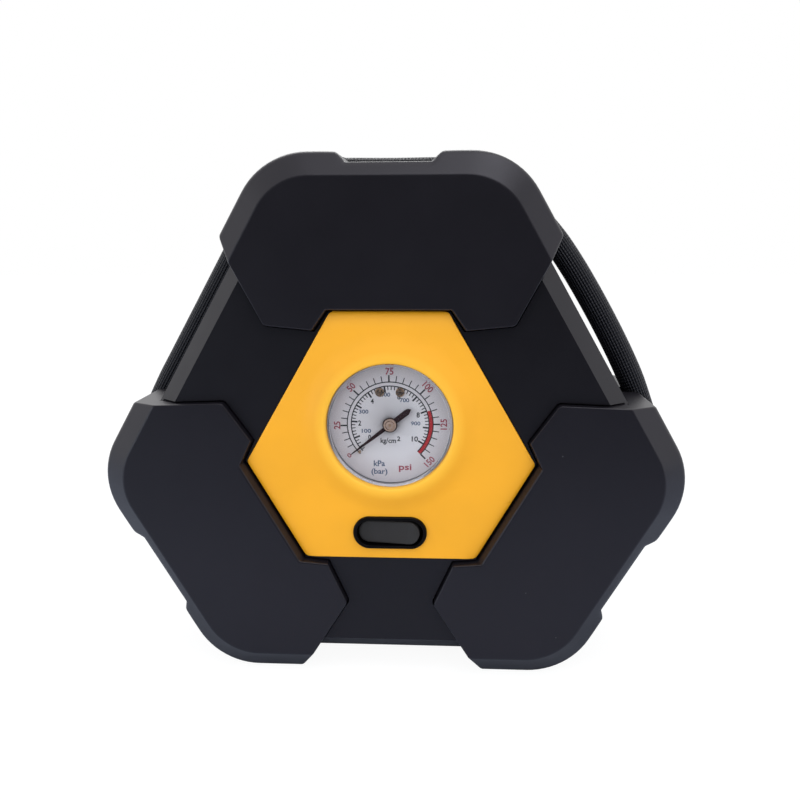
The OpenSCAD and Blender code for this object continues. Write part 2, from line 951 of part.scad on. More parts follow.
module valve_plate()
  color("#8d9094")
    on_cylinder()
      difference() {
        translate([-15, -15, 36.5])
          cube([30, 30, head_z - 36.5]);
        rod_z(2, 36, 39);
        for (x = [-12.2, 12.2], y = [-12.2, 12.2])
          translate([x, y, 0])
            rod_z(screw_r, 36, 39);
      }

module cylinder_head()
  color("#aeb1b4")
    on_cylinder()
      difference() {
        union() {
          translate([-15, -15, head_z])
            cube([30, 30, 9]);
          for (y = [-9:6:9])
            translate([-11, y - 0.8, head_z + 8])
              cube([22, 1.6, 4]);
          translate([0, 0, head_z + 5]) {
            rod_x(2, -20, -14);
            rod_x(2, 14, 20);
          }
        }
        rod_z(5, head_z - 1, head_z + 5);
        translate([0, 0, head_z + 5])
          rod_x(1, -21, 21);
        for (x = [-12.2, 12.2], y = [-12.2, 12.2])
          translate([x, y, 0])
            rod_z(screw_r, 36, 48);
      }

module head_screws()
  color("#6f7276")
    on_cylinder()
      for (x = [-12.2, 12.2], y = [-12.2, 12.2])
        translate([x, y, 0]) {
          rod_z(screw_r, shelf_z, head_z + 9);
          rod_z(2.7, head_z + 9, head_z + 11.2);
        }

module pump_bushes()
  color("#262626")
    on_axis()
      for (spot = mount_spots)
        translate([spot[0], 0, spot[1]])
          difference() {
            rod_y(4.5, 24, -cavity_y);
            rod_y(screw_r, 23, 28);
          }

module pump_screws()
  color("#6f7276")
    on_axis()
      for (spot = mount_spots)
        translate([spot[0], 0, spot[1]]) {
          rod_y(screw_r, 21, 32);
          rod_y(2.8, 18.8, 21);
        }

// ---------- air and wiring ----------

gauge_tube_route = [[-14, -6, -0.2], [-14, -3, -0.2], [-14, 1, 2], [-14, 3, 10],
  [-14, 5, 25], [-13, 7, 37], [-9, 9, 42.4], [-5, 9, 43], [-2, 9, 43]];
outlet_tube_route = [[38, 9, 43], [41, 9, 43], [45, 9, 40], [47, 9, 32], [47, 9, 10],
  [46, 9, -20], [42, 8, -40], [34, 6, -50], [29, 5, -54], [28.5, 5, -56.5],
  [28.5, 5, -58], [28.5, 5, -59.3]];
lead_route = [[-5, -12, -29.9], [-5, -12, -29.1], [-5, -12, -28.3], [-6.2, -11, -25.5],
  [-9.5, -9, -22], [-17, -6, -18.5], [-30, 0, -16], [-48, 8, -18], [-53.5, 13, -21],
  [-54.5, 18, -29], [-54, 20, -35], [-54, 20, -37.6], [-54, 20, -39.6]];
// The hose from its outlet under the case, round all three corners, to the chuck
hose_route = [[37, -82.5], [41, -82.5], [47.5, -82.5], [56, -82.6], [63.6, -81.8],
  [69, -77.2], [73.5, -71.1], [76.5, -66], [87.3, -47], [98.3, -28], [102.3, -17], [102.3, -5.5], [98.5, 6],
  [89.5, 26], [79, 45.5], [67.3, 64.5], [54.5, 82], [46.7, 91.3], [36.4, 97.2],
  [25, 99.3], [0, 99.3], [-25, 99.3], [-36.4, 97.2], [-46.7, 91.3], [-54.2, 82],
  [-65, 63.3], [-76, 44.2], [-87, 25.2], [-98.3, 5.7], [-102.3, -5.5], [-102.3, -17],
  [-98.3, -28], [-87.3, -47], [-76.5, -66], [-73.5, -71.1], [-69, -77.2],
  [-63.6, -81.8], [-56, -82.6], [-47.5, -82.5], [-40, -82.5], [-34, -82.5]];

module gauge_tube()
  color("#d8d8d4")
    on_axis()
      difference() {
        swept(smooth(gauge_tube_route, 2), 3, 10, [1, 0.2, 0.1]);
        translate([-14, 0, -0.2]) rod_y(2, -7, -4);
        translate([0, 9, 43]) rod_x(2, -5, 0);
      }

module outlet_tube()
  color("#d8d8d4")
    on_axis()
      difference() {
        swept(smooth(outlet_tube_route, 2), 3.2, 10, [0, 1, 0]);
        translate([0, 9, 43]) rod_x(2, 35, 41);
        translate([outlet_x, 5, 0]) rod_z(2, -61, -57);
      }

// Elbow under the case: it comes down out of the bay's ceiling and turns into the hose
module hose_outlet()
  color("#c79a4b")
    on_axis()
      difference() {
        union() {
          translate([outlet_x, 5, 0]) {
            rod_z(2, -61, -57);
            rod_z(6, bay_top + case_wall, -59.4, $fn = 6);
            rod_z(4, bay_top, -61);
            rod_z(5.5, -70, bay_top);
          }
          translate([outlet_x, 0, -72])
            cube([9.6, 12, 4], center = true);
          translate([outlet_x, 0, hose_end_z]) {
            rod_z(4.6, -4.6, 12.5);
            rod_x(4.6, 0, 37 - outlet_x);
          }
        }
        translate([outlet_x, 5, 0])
          rod_z(1, -74, -56);
      }

module air_hose()
  color("#17171a")
    on_axis()
      swept([for (p = smooth(hose_route, 2)) [p[0], 0, p[1]]], hose_d / 2, 12, [0, 1, 0]);

// The chuck's own frame: its axis runs along X, the lever pin is at x = 0
module on_chuck() on_axis() translate([chuck_x, 0, hose_end_z]) children();

lever_y = 2;
valve_r = 3.9;

module hose_ferrule()
  color("#b9bcc0")
    on_chuck()
      difference() {
        union() {
          rod_x(5.2, -30, -20);
          rod_x(4.2, -20, -18);
        }
        rod_x(2, -31, -17);
      }

module chuck_body()
  color("#c9a24e")
    on_chuck()
      difference() {
        union() {
          rod_x(2, -29, -18);
          rod_x(4.6, -18, -12);
          rod_x(chuck_r, -12, 18);
        }
        rod_x(valve_r + 0.5, 8, 19);
        rod_x(1, -30, 9);
        translate([-8.4, lever_y - 2.5, -2.6])
          cube([15.1, 10, 5.2]);
        translate([0, lever_y, 0])
          rod_z(1, -8, 8);
      }

// Rubber cup that seals on the tire valve
module chuck_seal()
  color("#222222")
    on_chuck()
      difference() {
        rod_x(valve_r + 0.5, 8, 17.4);
        rod_x(valve_r, 9.4, 18);
        rod_x(1, 7, 10);
      }

module chuck_lever()
  color("#2a2a2c")
    on_chuck()
      translate([0, lever_y, 0])
        difference() {
          union() {
            rod_z(2.1, -2.3, 2.3);
            translate([0, 0, -2.3])
              linear_extrude(4.6)
                polygon([[0, 0], [1.4, 1.6], [-5.2, 7.2], [-8, 7.2], [-8, 4.9], [-4, 4.9]]);
            translate([-24.5, 4.9, -5])
              cube([18.5, 2.3, 10]);
            translate([-24.5, 3.9, -5])
              cube([2.4, 3.3, 10]);
          }
          rod_z(1.06, -6, 6);
        }

module lever_pin()
  color("#c9ccd0")
    on_chuck()
      translate([0, lever_y, 0])
        rod_z(1, -5.8, 5.8);

// Spring clip under the case that holds the stowed chuck
module chuck_clip()
  color("#1c1b20")
    on_chuck()
      difference() {
        union() {
          rod_x(chuck_r + 1.7, 8, 14);
          translate([8, -4, 6])
            cube([6, 8, bay_top - hose_end_z - 6]);
        }
        rod_x(chuck_r + 0.02, 7, 15);
        translate([7, -9, -10])
          cube([8, 18, 7.5]);
        translate([7, 4, -9])
          cube([8, 6, 18]);
      }

module cord_gland()
  color("#17171a")
    on_axis()
      translate([0, 0, gland_z])
        turned([
          [2.9, 25.8], [6.2, 25.8], [6.2, -cavity_y], [5, -cavity_y], [5, -face_y],
          [6.6, -face_y], [6.2, -face_y + 2], [4.2, -face_y + 2.6], [2.9, -face_y + 2.6]]);

module motor_leads()
  color("#9c2b24")
    on_axis()
      swept(smooth(lead_route, 2), 1, 8, [0.3, 0.2, 1]);

front_shell();
rear_shell();
front_panel();
rear_grille();
front_bumper(0);  // front_bumper_top
front_bumper(120);  // front_bumper_right
front_bumper(240);  // front_bumper_left
rear_bumper(0);  // rear_bumper_top
rear_bumper(120);  // rear_bumper_right
rear_bumper(240);  // rear_bumper_left
case_screws();
gauge_case();
gauge_dial();
dial_screws();
stop_pin();
bourdon_tube();
movement_plate();
sector_gear();
needle_arbor();
needle();
gauge_lens();
switch_housing();
switch_rocker();
switch_terminals();
motor_can();
motor_magnets();
motor_endcap();
armature();
motor_shaft();
drive_pinion();
cooling_fan();
pump_frame();
gear_axle();
crank_gear();
crank_pin();
piston_rod();
piston_seal();
pump_cylinder();
valve_plate();
cylinder_head();
head_screws();
pump_bushes();
pump_screws();
gauge_tube();
outlet_tube();
hose_outlet();
air_hose();
hose_ferrule();
chuck_body();
chuck_seal();
chuck_lever();
lever_pin();
chuck_clip();
cord_gland();
motor_leads();
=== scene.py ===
"""Finish of a portable tire inflator: surfaces, materials, light and camera.

All shapes are worked out in millimetres in the object's own frame: X right, Y towards
the back, Z up. They are turned into metres where they become a mesh.
"""
import json
import math

import bmesh
import bpy
import numpy as np
from mathutils import Matrix


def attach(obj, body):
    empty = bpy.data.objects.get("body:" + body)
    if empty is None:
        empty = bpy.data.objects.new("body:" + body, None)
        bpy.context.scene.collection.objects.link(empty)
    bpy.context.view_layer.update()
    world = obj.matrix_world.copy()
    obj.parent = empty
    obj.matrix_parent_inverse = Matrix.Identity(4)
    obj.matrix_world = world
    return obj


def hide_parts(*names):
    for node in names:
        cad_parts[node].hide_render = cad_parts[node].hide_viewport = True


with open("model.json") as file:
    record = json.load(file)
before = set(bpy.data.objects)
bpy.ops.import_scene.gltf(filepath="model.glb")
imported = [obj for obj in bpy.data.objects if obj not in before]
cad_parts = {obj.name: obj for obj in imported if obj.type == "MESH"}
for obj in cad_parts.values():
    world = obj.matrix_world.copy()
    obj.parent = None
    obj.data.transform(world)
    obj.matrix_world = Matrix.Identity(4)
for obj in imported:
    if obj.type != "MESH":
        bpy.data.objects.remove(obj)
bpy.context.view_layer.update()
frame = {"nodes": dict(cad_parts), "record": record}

MM = 0.001
TURN = 2 * math.pi

# Driving values in millimetres. The case axis runs along Y. A side, tip or floor is as far
# from it as its value says, a name in _UP is a height over it, and one in _Y a place on Y.
AXIS_H = 89.6  # case axis above the ground
FRONT_Y = -39.0  # faces of the front bumpers
SEAT_Y = -30.0  # where a bumper sits on the case
FLANGE_Y = -8.0  # free edge of a bumper's skirt
BUMPER_SIDE = 89.6  # long sides of a bumper
BUMPER_TIP = 103.2  # outer edge of a bumper
BUMPER_CORNER_R = 27.0  # the corners between them
BEVEL_W, BEVEL_D = 8.5, 7.0  # a bumper's bevel, across and deep
NOTCH_FLOOR = 99.4  # finger notch in the outer edge
NOTCH_HALF = 14.7  # half of its floor's width
NOTCH_SLOPE = 1.074  # rise over run of its flanks
BAY_STEP = 3.0  # depth over which the end of the panel bay slants
CASE_SIDE, CASE_TIP = 81.95, 94.75
CASE_CORNER_R = 26.0
PANEL_SIDE, PANEL_TIP = 42.3, 48.8
PANEL_Y, PANEL_BACK_Y = -37.0, -34.0
GAUGE_UP = 7.6  # middle of the gauge
GAUGE_R = 22.9  # its window in the panel
DIAL_Y = -32.6  # printed face of the dial
INK = 0.03  # how far the print stands off it
INK_ROOT = 0.01  # how far it reaches into it
SWITCH_UP = -32.3  # middle of the switch
SWITCH_HOLE = 25.8, 11.7  # width and height of its slot in the panel
HOSE_D = 8.5


# ---------- objects in the scene ----------

def in_scene(name, data):
    """Object that shows a mesh, word, lamp or camera, put into the scene."""
    made = bpy.data.objects.new(name, data)
    bpy.context.scene.collection.objects.link(made)
    return made


def aim(thing, place, right, up, ahead):
    """Puts a lamp or camera at a place in millimetres, looking ahead."""
    matrix = Matrix.Identity(4)
    for row in range(3):
        matrix[row][0:4] = right[row], up[row], -ahead[row], place[row] * MM
    thing.matrix_world = matrix


def place_camera(place, pan, tilt, roll, lens):
    """Camera at a point in millimetres; pan and tilt turn its view off +Y, roll leans it."""
    a, e, r = (math.radians(v) for v in (pan, tilt, roll))
    ahead = np.array([math.sin(a) * math.cos(e), math.cos(a) * math.cos(e), math.sin(e)])
    level = np.array([math.cos(a), -math.sin(a), 0.0])
    above = np.cross(level, ahead)
    right = level * math.cos(r) + above * math.sin(r)
    up = above * math.cos(r) - level * math.sin(r)
    data = bpy.data.cameras.new("camera")
    data.lens = lens
    data.sensor_width = 36
    data.clip_start = 0.01
    camera = in_scene("camera", data)
    aim(camera, place, right, up, ahead)
    bpy.context.scene.camera = camera


place_camera((19.67, -317.88, 164.99), -3.223, -11.633, -0.193, 36.37)


# ---------- meshes from arrays ----------

def new_piece(name, points, faces, material, body="case", sharp=30.0, weighted=False):
    """Makes a smooth-shaded object from points in millimetres and lists of corner numbers."""
    mesh = bpy.data.meshes.new(name)
    mesh.from_pydata((np.asarray(points, float) * MM).tolist(), [], [list(f) for f in faces])
    mesh.validate()
    return finish_piece(name, mesh, material, body, sharp, weighted)


def finish_piece(name, mesh, material, body, sharp=30.0, weighted=False):
    """Shades a mesh smooth but for its sharp edges, gives it its material and its body."""
    mesh.polygons.foreach_set("use_smooth", np.ones(len(mesh.polygons), bool))
    mesh.set_sharp_from_angle(angle=math.radians(sharp))
    mesh.materials.clear()
    mesh.materials.append(MATERIALS[material])
    piece = in_scene(name, mesh)
    if weighted:
        flat = piece.modifiers.new("flat faces", "WEIGHTED_NORMAL")
        flat.keep_sharp = True
        flat.weight = 100
    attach(piece, body)
    return piece


def grid_faces(rows, columns):
    """Quads between the points of a grid whose last column joins its first."""
    i, j = np.meshgrid(np.arange(rows - 1), np.arange(columns), indexing="ij")
    k = (j + 1) % columns
    quads = np.stack([i * columns + j, i * columns + k, (i + 1) * columns + k,
                      (i + 1) * columns + j], axis=-1)
    return quads.reshape(-1, 4).tolist()


def stacked(rings):
    """Points and faces of a solid: a skin through rings of equal count, with flat ends."""
    rows, columns = rings.shape[:2]
    faces = grid_faces(rows, columns)
    faces.append(list(range(columns - 1, -1, -1)))
    faces.append(list(range((rows - 1) * columns, rows * columns)))
    return rings.reshape(-1, 3), faces


def outward(mesh):
    """Points the faces of closed shells outwards."""
    work = bmesh.new()
    work.from_mesh(mesh)
    bmesh.ops.recalc_face_normals(work, faces=work.faces)
    work.to_mesh(mesh)
    work.free()


def merged(piece, distance=1e-7):
    """Joins the points of a piece that lie on each other and points its faces outwards."""
    work = bmesh.new()
    work.from_mesh(piece.data)
    bmesh.ops.remove_doubles(work, verts=work.verts, dist=distance)
    bmesh.ops.dissolve_degenerate(work, edges=work.edges, dist=distance)
    bmesh.ops.recalc_face_normals(work, faces=work.faces)
    work.to_mesh(piece.data)
    work.free()
    return piece


def turned_rings(profile, centre, segments):
    """Rings of a profile of [radius, y] points turned about a Y axis through centre (x, z)."""
    profile = np.asarray(profile, float)
    angle = np.arange(segments) / segments * TURN
    ring = np.empty((len(profile), segments, 3))
    ring[..., 0] = centre[0] + profile[:, :1] * np.cos(angle)
    ring[..., 1] = profile[:, 1:]
    ring[..., 2] = centre[1] + AXIS_H + profile[:, :1] * np.sin(angle)
    return ring


def turned_piece(name, profile, centre, material, segments, body="case", sharp=30.0):
    """Closed solid: a closed profile of [radius, y] points turned about a Y axis."""
    profile = np.vstack([profile, profile[:1]])
    rings = turned_rings(profile, centre, segments)
    return merged(new_piece(name, rings.reshape(-1, 3), grid_faces(*rings.shape[:2]), material,
                            body, sharp))


def softened(node, material, body, width):
    """Copy of a CAD node with its doubles merged, flat faces joined and edges rounded."""
    mesh = frame["nodes"][node].data.copy()
    work = bmesh.new()
    work.from_mesh(mesh)
    bmesh.ops.remove_doubles(work, verts=work.verts, dist=1e-6)
    bmesh.ops.dissolve_limit(work, angle_limit=math.radians(0.5), verts=work.verts,
                             edges=work.edges)
    work.to_mesh(mesh)
    work.free()
    mesh.name = node + "_finish"
    piece = finish_piece(node + "_finish", mesh, material, body)
    rounding = piece.modifiers.new("rounded edges", "BEVEL")
    rounding.width = width * MM
    rounding.segments = 2
    rounding.limit_method = "ANGLE"
    rounding.angle_limit = math.radians(35)
    rounding.harden_normals = True
    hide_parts(node)


# ---------- materials ----------

MATERIALS = {}


class Nodes:
    """The shader nodes of one material or of the world."""

    def __init__(self, tree):
        self.tree = tree

    def node(self, kind, **settings):
        """New node with some of its settings."""
        made = self.tree.nodes.new(kind)
        for key, value in settings.items():
            setattr(made, key, value)
        return made

    def join(self, source, target):
        """Carries one node's output to another's input."""
        self.tree.links.new(source, target)

    def feed(self, target, value):
        """Gives an input a number, a colour or another node's output."""
        if isinstance(value, bpy.types.NodeSocket):
            self.join(value, target)
        else:
            target.default_value = (*value, 1) if isinstance(value, tuple) else value

    def axes(self, kind):
        """X, Y and Z of one kind of coordinates."""
        split = self.node("ShaderNodeSeparateXYZ")
        self.join(self.node("ShaderNodeTexCoord").outputs[kind], split.inputs[0])
        return split.outputs

    def math(self, operation, a, b=0.0):
        """Result of one sum."""
        made = self.node("ShaderNodeMath", operation=operation)
        self.feed(made.inputs[0], a)
        self.feed(made.inputs[1], b)
        return made.outputs[0]

    def spread(self, source, low, high, start=0.3, end=0.7, **settings):
        """Maps a source from start..end to low..high."""
        made = self.node("ShaderNodeMapRange", **settings)
        for key, value in (("Value", source), ("From Min", start), ("From Max", end),
                           ("To Min", low), ("To Max", high)):
            self.feed(made.inputs[key], value)
        return made.outputs["Result"]

    def ramp(self, source, start, end):
        """0 at start to 1 at end, softly."""
        return self.spread(source, 0, 1, start, end, interpolation_type="SMOOTHSTEP")

    def blend(self, factor, first, second):
        """Colour between two."""
        made = self.node("ShaderNodeMix", data_type="RGBA")
        for place, value in ((0, factor), (6, first), (7, second)):
            self.feed(made.inputs[place], value)
        return made.outputs[2]

    def show(self, factor, first, second):
        """Makes the surface or the world a mix of two shaders."""
        mix = self.node("ShaderNodeMixShader")
        for target, source in zip(mix.inputs, (factor, first, second)):
            self.join(source, target)
        out = self.tree.nodes.get("Material Output") or self.tree.nodes["World Output"]
        self.join(mix.outputs[0], out.inputs["Surface"])


class Finish(Nodes):
    """One material: a Principled shader and the nodes that feed it."""

    def __init__(self, name, colour, roughness, metallic=0.0, specular=0.5, sheen=(1, 1, 1)):
        material = bpy.data.materials.new(name)
        material.use_nodes = True
        super().__init__(material.node_tree)
        self.shader = self.tree.nodes["Principled BSDF"]
        self.colour = colour
        for key, value in (("Base Color", colour), ("Roughness", roughness),
                           ("Metallic", metallic), ("Specular IOR Level", specular),
                           ("Specular Tint", sheen)):
            self.feed(self.shader.inputs[key], value)
        self.place = self.node("ShaderNodeTexCoord").outputs["Object"]
        self.height = None
        MATERIALS[name] = material

    def noise(self, scale, detail, stretch=None):
        """Noise in the object's own place; scale is in cells a metre."""
        made = self.node("ShaderNodeTexNoise")
        made.inputs["Scale"].default_value = scale
        made.inputs["Detail"].default_value = detail
        place = self.place
        if stretch:
            turn = self.node("ShaderNodeMapping")
            turn.inputs["Scale"].default_value = stretch
            self.join(place, turn.inputs["Vector"])
            place = turn.outputs["Vector"]
        self.join(place, made.inputs["Vector"])
        return made.outputs["Fac"]

    def bump(self, source, distance, strength):
        """Adds a layer of relief, distance in millimetres."""
        made = self.node("ShaderNodeBump")
        made.inputs["Distance"].default_value = distance * MM
        made.inputs["Strength"].default_value = strength
        self.join(source, made.inputs["Height"])
        if self.height:
            self.join(self.height, made.inputs["Normal"])
        self.height = made.outputs["Normal"]
        self.join(self.height, self.shader.inputs["Normal"])

    def paint(self, source):
        """Makes a source the surface's colour."""
        self.join(source, self.shader.inputs["Base Color"])
        self.painted = source

    def tint(self, source, amount):
        """Varies the colour up and down by a share of itself."""
        low = tuple(c * (1 - amount) for c in self.colour)
        high = tuple(min(c * (1 + amount), 1) for c in self.colour)
        self.paint(self.blend(self.spread(source, 0, 1), low, high))

    def gloss(self, source, low, high):
        """Varies the roughness between two values."""
        self.join(self.spread(source, low, high), self.shader.inputs["Roughness"])

    def specks(self, scale, share, colour):
        """Sparse fine dust: the middles of a few cells show some of a second colour."""
        speck_r, strength = 0.06, 0.35
        cells = self.node("ShaderNodeTexVoronoi", feature="F1")
        cells.inputs["Scale"].default_value = scale
        self.join(self.place, cells.inputs["Vector"])
        split = self.node("ShaderNodeSeparateColor")
        self.join(cells.outputs["Color"], split.inputs[0])
        near = self.math("LESS_THAN", cells.outputs["Distance"], speck_r)
        chosen = self.math("LESS_THAN", split.outputs[0], share)
        faint = self.math("MULTIPLY", self.math("MULTIPLY", near, chosen), strength)
        self.paint(self.blend(faint, self.painted, colour))


def moulded(name, colour, roughness, grain, depth, specular=0.5, dusty=False,
            sheen=(1, 1, 1)):
    """Moulded plastic: fine spark grain, faint flow mottling and a little uneven gloss."""
    finish = Finish(name, colour, roughness, specular=specular, sheen=sheen)
    finish.tint(finish.noise(28, 4), 0.08)
    finish.gloss(finish.noise(90, 4), roughness - 0.025, roughness + 0.025)
    finish.bump(finish.noise(1000 / grain, 2), depth, 0.6)
    if dusty:
        finish.specks(260, 0.03, (0.16, 0.16, 0.17))


def machined(name, colour, roughness, stretch=(1, 1, 1), depth=0.01, metallic=1.0,
             mottling=0.12):
    """Metal with fine tool lines, slightly uneven in gloss and colour."""
    finish = Finish(name, colour, roughness, metallic)
    finish.tint(finish.noise(150 if mottling < 0.5 else 900, 5), mottling)
    finish.gloss(finish.noise(400, 4), roughness - 0.08, roughness + 0.1)
    finish.bump(finish.noise(2600, 3, stretch), depth, 0.5)


moulded("bumper_plastic", (0.0072, 0.0063, 0.0092), 0.38, grain=0.42, depth=0.022,
        specular=0.42, dusty=True, sheen=(0.94, 0.91, 1.0))
moulded("case_plastic", (0.0048, 0.0041, 0.0056), 0.42, grain=0.42, depth=0.025,
        specular=0.37, dusty=True, sheen=(0.91, 0.89, 1.0))
# Name, colour, roughness, the grain's size and depth in millimetres, and the specular level
# where it isn't the usual one.
for row in (
        ("switch_plastic", (0.0020, 0.0012, 0.0014), 0.3, 0.3, 0.006, 0.12),
        ("rocker_plastic", (0.021, 0.018, 0.0165), 0.5, 0.3, 0.02),
        ("nylon", (0.72, 0.69, 0.6), 0.45, 0.5, 0.012),
        ("black_nylon", (0.02, 0.02, 0.021), 0.42, 0.4, 0.014),
        ("rubber", (0.022, 0.022, 0.021), 0.7, 0.25, 0.03, 0.3),
        ("vinyl", (0.62, 0.62, 0.58), 0.3, 0.8, 0.01),
        ("lead_vinyl", (0.34, 0.025, 0.018), 0.38, 0.6, 0.01),
        ("ferrite", (0.045, 0.045, 0.05), 0.6, 0.2, 0.02),
        ("winding", (0.25, 0.075, 0.018), 0.34, 0.5, 0.05),
        ("needle_paint", (0.020, 0.003, 0.003), 0.5, 0.2, 0.004, 0.12),
        ("dial_black", (0.012, 0.012, 0.016), 0.6, 0.2, 0.003),
        ("dial_red", (0.47, 0.010, 0.014), 0.55, 0.2, 0.003),
        ("dial_numeral_red", (0.34, 0.050, 0.080), 0.6, 0.2, 0.003),
        ("dial_blue", (0.055, 0.090, 0.17), 0.6, 0.2, 0.003)):
    moulded(*row)
machined("brass", (0.62, 0.40, 0.24), 0.28, depth=0.003)
machined("dull_brass", (0.13, 0.09, 0.06), 0.42, depth=0.03, metallic=0.5, mottling=0.85)
machined("hub_brass", (0.52, 0.37, 0.29), 0.36, depth=0.003, metallic=0.4)
machined("steel", (0.62, 0.63, 0.65), 0.3, stretch=(1, 1, 8))
machined("case_steel", (0.46, 0.47, 0.49), 0.38, stretch=(1, 6, 1))
machined("cast_alloy", (0.5, 0.51, 0.52), 0.5, depth=0.03)


def braid_finish():
    """Braided sleeve: two families of strands cross on the tube's own UV map."""
    strands, pitch = 15.0, 2.6 * MM
    finish = Finish("hose_braid", (0.008, 0.008, 0.011), 0.4, specular=0.4,
                    sheen=(0.92, 0.92, 1.0))
    turn, metres, _ = finish.axes("UV")
    around = finish.math("MULTIPLY", turn, strands * TURN)
    along = finish.math("MULTIPLY", metres, TURN / pitch)
    rising = finish.math("SINE", finish.math("ADD", around, along))
    falling = finish.math("SINE", finish.math("SUBTRACT", around, along))
    weave = finish.math("MULTIPLY", rising, falling)
    finish.paint(finish.blend(finish.spread(weave, 0, 1, -0.6, 0.8), (0.0015, 0.0015, 0.0024),
                              (0.0045, 0.0045, 0.008)))
    finish.join(finish.spread(weave, 0.5, 0.16, 0.3, 0.9), finish.shader.inputs["Roughness"])
    finish.bump(finish.noise(4000, 2), 0.03, 0.4)
    finish.bump(weave, 0.45, 0.8)


def from_gauge(finish):
    """Distance from the gauge's own axis, in metres."""
    x, _, z = finish.axes("Object")
    up = finish.math("SUBTRACT", z, (AXIS_H + GAUGE_UP) * MM)
    squares = finish.math("ADD", finish.math("MULTIPLY", x, x), finish.math("MULTIPLY", up, up))
    return finish.math("SQRT", squares)


def panel_finish():
    """Warm yellow plastic, with a paler ring of painted light on the top of the collar round the
    gauge, as if spilled from the lens.
    """
    finish = Finish("panel_plastic", (0.90, 0.405, 0.017), 0.4, specular=0.32)
    finish.tint(finish.noise(28, 4), 0.05)
    # Painted light: the ring next to the gauge is paled, in place of light spilled from the lens
    # onto the collar.
    painted_lens_light = finish.spread(from_gauge(finish), 0.75, 0, 0.0235, 0.0275)
    finish.paint(finish.blend(painted_lens_light, finish.painted, (0.98, 0.53, 0.045)))
    finish.gloss(finish.noise(90, 4), 0.35, 0.45)
    finish.bump(finish.noise(3300, 2), 0.008, 0.6)


def dial_finish():
    """Pale printed card with faint mottling, and painted shade that makes it greyer towards its
    rim.
    """
    finish = Finish("dial_paint", (0.74, 0.72, 0.74), 0.5, specular=0.3)
    # Painted shade: the dial turns greyer towards its rim.
    rim = finish.spread(from_gauge(finish), 0, 1, 0.012, 0.021)
    mottled = finish.blend(finish.noise(120, 4), (0.74, 0.715, 0.73), (0.79, 0.765, 0.78))
    finish.paint(finish.blend(rim, mottled, (0.60, 0.555, 0.57)))
    finish.bump(finish.noise(4000, 2), 0.003, 0.5)


def lens_edge_finish():
    """Cut edge of the clear plastic: milky, and an opaque pale grey that is painted light
    standing in for the light the clear edge carries from within.
    """
    # Painted light: the pale colour stands in for light inside the clear plastic, made paler to
    # offset the panel's shade on it.
    finish = Finish("lens_edge", (0.78, 0.78, 0.82), 0.35)
    finish.tint(finish.noise(300, 3), 0.15)
    finish.gloss(finish.noise(500, 3), 0.25, 0.45)
    finish.bump(finish.noise(2500, 2), 0.01, 0.5)


def lens_finish():
    """Clear plastic that lets lamp light through to the dial, with faint rubbing marks."""
    finish = Finish("lens_plastic", (0.95, 0.95, 0.96), 0.06, specular=0.3)
    finish.shader.inputs["Transmission Weight"].default_value = 1.0
    finish.shader.inputs["IOR"].default_value = 1.49
    finish.gloss(finish.noise(140, 5), 0.02, 0.09)
    clear = finish.node("ShaderNodeBsdfTransparent")
    clear.inputs["Color"].default_value = (0.95, 0.95, 0.96, 1)
    path = finish.node("ShaderNodeLightPath")
    finish.show(path.outputs["Is Shadow Ray"], finish.shader.outputs[0], clear.outputs[0])


panel_finish()
braid_finish()
dial_finish()
lens_edge_finish()
lens_finish()

for subpart in frame["record"]["subparts"]:
    slots = frame["nodes"][subpart["node"]].data.materials
    if len(slots) == 0:
        slots.append(None)
    for number in range(len(slots)):
        slots[number] = MATERIALS[subpart["material_slot"]]


# ---------- outlines in the front view ----------

def unit(v):
    """Vectors brought to length one."""
    return v / np.linalg.norm(v, axis=-1, keepdims=True)


def meet(a, d1, b, d2):
    """Point where the line at distance d1 along angle a meets the one at d2 along b."""
    a, b = math.radians(a), math.radians(b)
    return (np.array([math.sin(b) * d1 - math.sin(a) * d2, math.cos(a) * d2 - math.cos(b) * d1])
            / math.sin(b - a))


def shifted(corners, insets):
    """Moves each edge of an outline inwards by its own distance; edge i starts at corner i."""
    along = unit(np.roll(corners, -1, axis=0) - corners)
    b = np.stack([-along[:, 1], along[:, 0]], axis=1)
    a = np.roll(b, 1, axis=0)
    db = np.asarray(insets, float)
    da = np.roll(db, 1)
    shift = np.stack([b[:, 1] * da - a[:, 1] * db, a[:, 0] * db - b[:, 0] * da], axis=1)
    return corners + shift / (a[:, 0] * b[:, 1] - a[:, 1] * b[:, 0])[:, None]


def rounded(corners, radii, steps=12):
    """Replaces each corner by an arc; gives points by corner and step."""
    u = unit(np.roll(corners, 1, axis=0) - corners)
    v = unit(np.roll(corners, -1, axis=0) - corners)
    half = np.arccos(np.clip((u * v).sum(axis=1), -1, 1)) / 2
    r = np.maximum(radii, 0.02)[:, None]
    mid = corners + unit(u + v) * r / np.sin(half)[:, None]
    start = corners + u * r / np.tan(half)[:, None] - mid
    turn = np.sign(u[:, 0] * v[:, 1] - u[:, 1] * v[:, 0]) * (math.pi - 2 * half)
    a = -turn[:, None] * np.linspace(0, 1, steps + 1)
    x = start[:, :1] * np.cos(a) - start[:, 1:] * np.sin(a)
    z = start[:, :1] * np.sin(a) + start[:, 1:] * np.cos(a)
    return mid[:, None] + np.stack([x, z], axis=-1)


def six_corners(side, tip):
    """Three-fold outline: sides at 30, 150 and 270 degrees, tips between them."""
    return np.array([meet(30 + 60 * k, tip if k % 2 else side, 90 + 60 * k,
                          side if k % 2 else tip) for k in range(6)])


# ---------- bumpers ----------

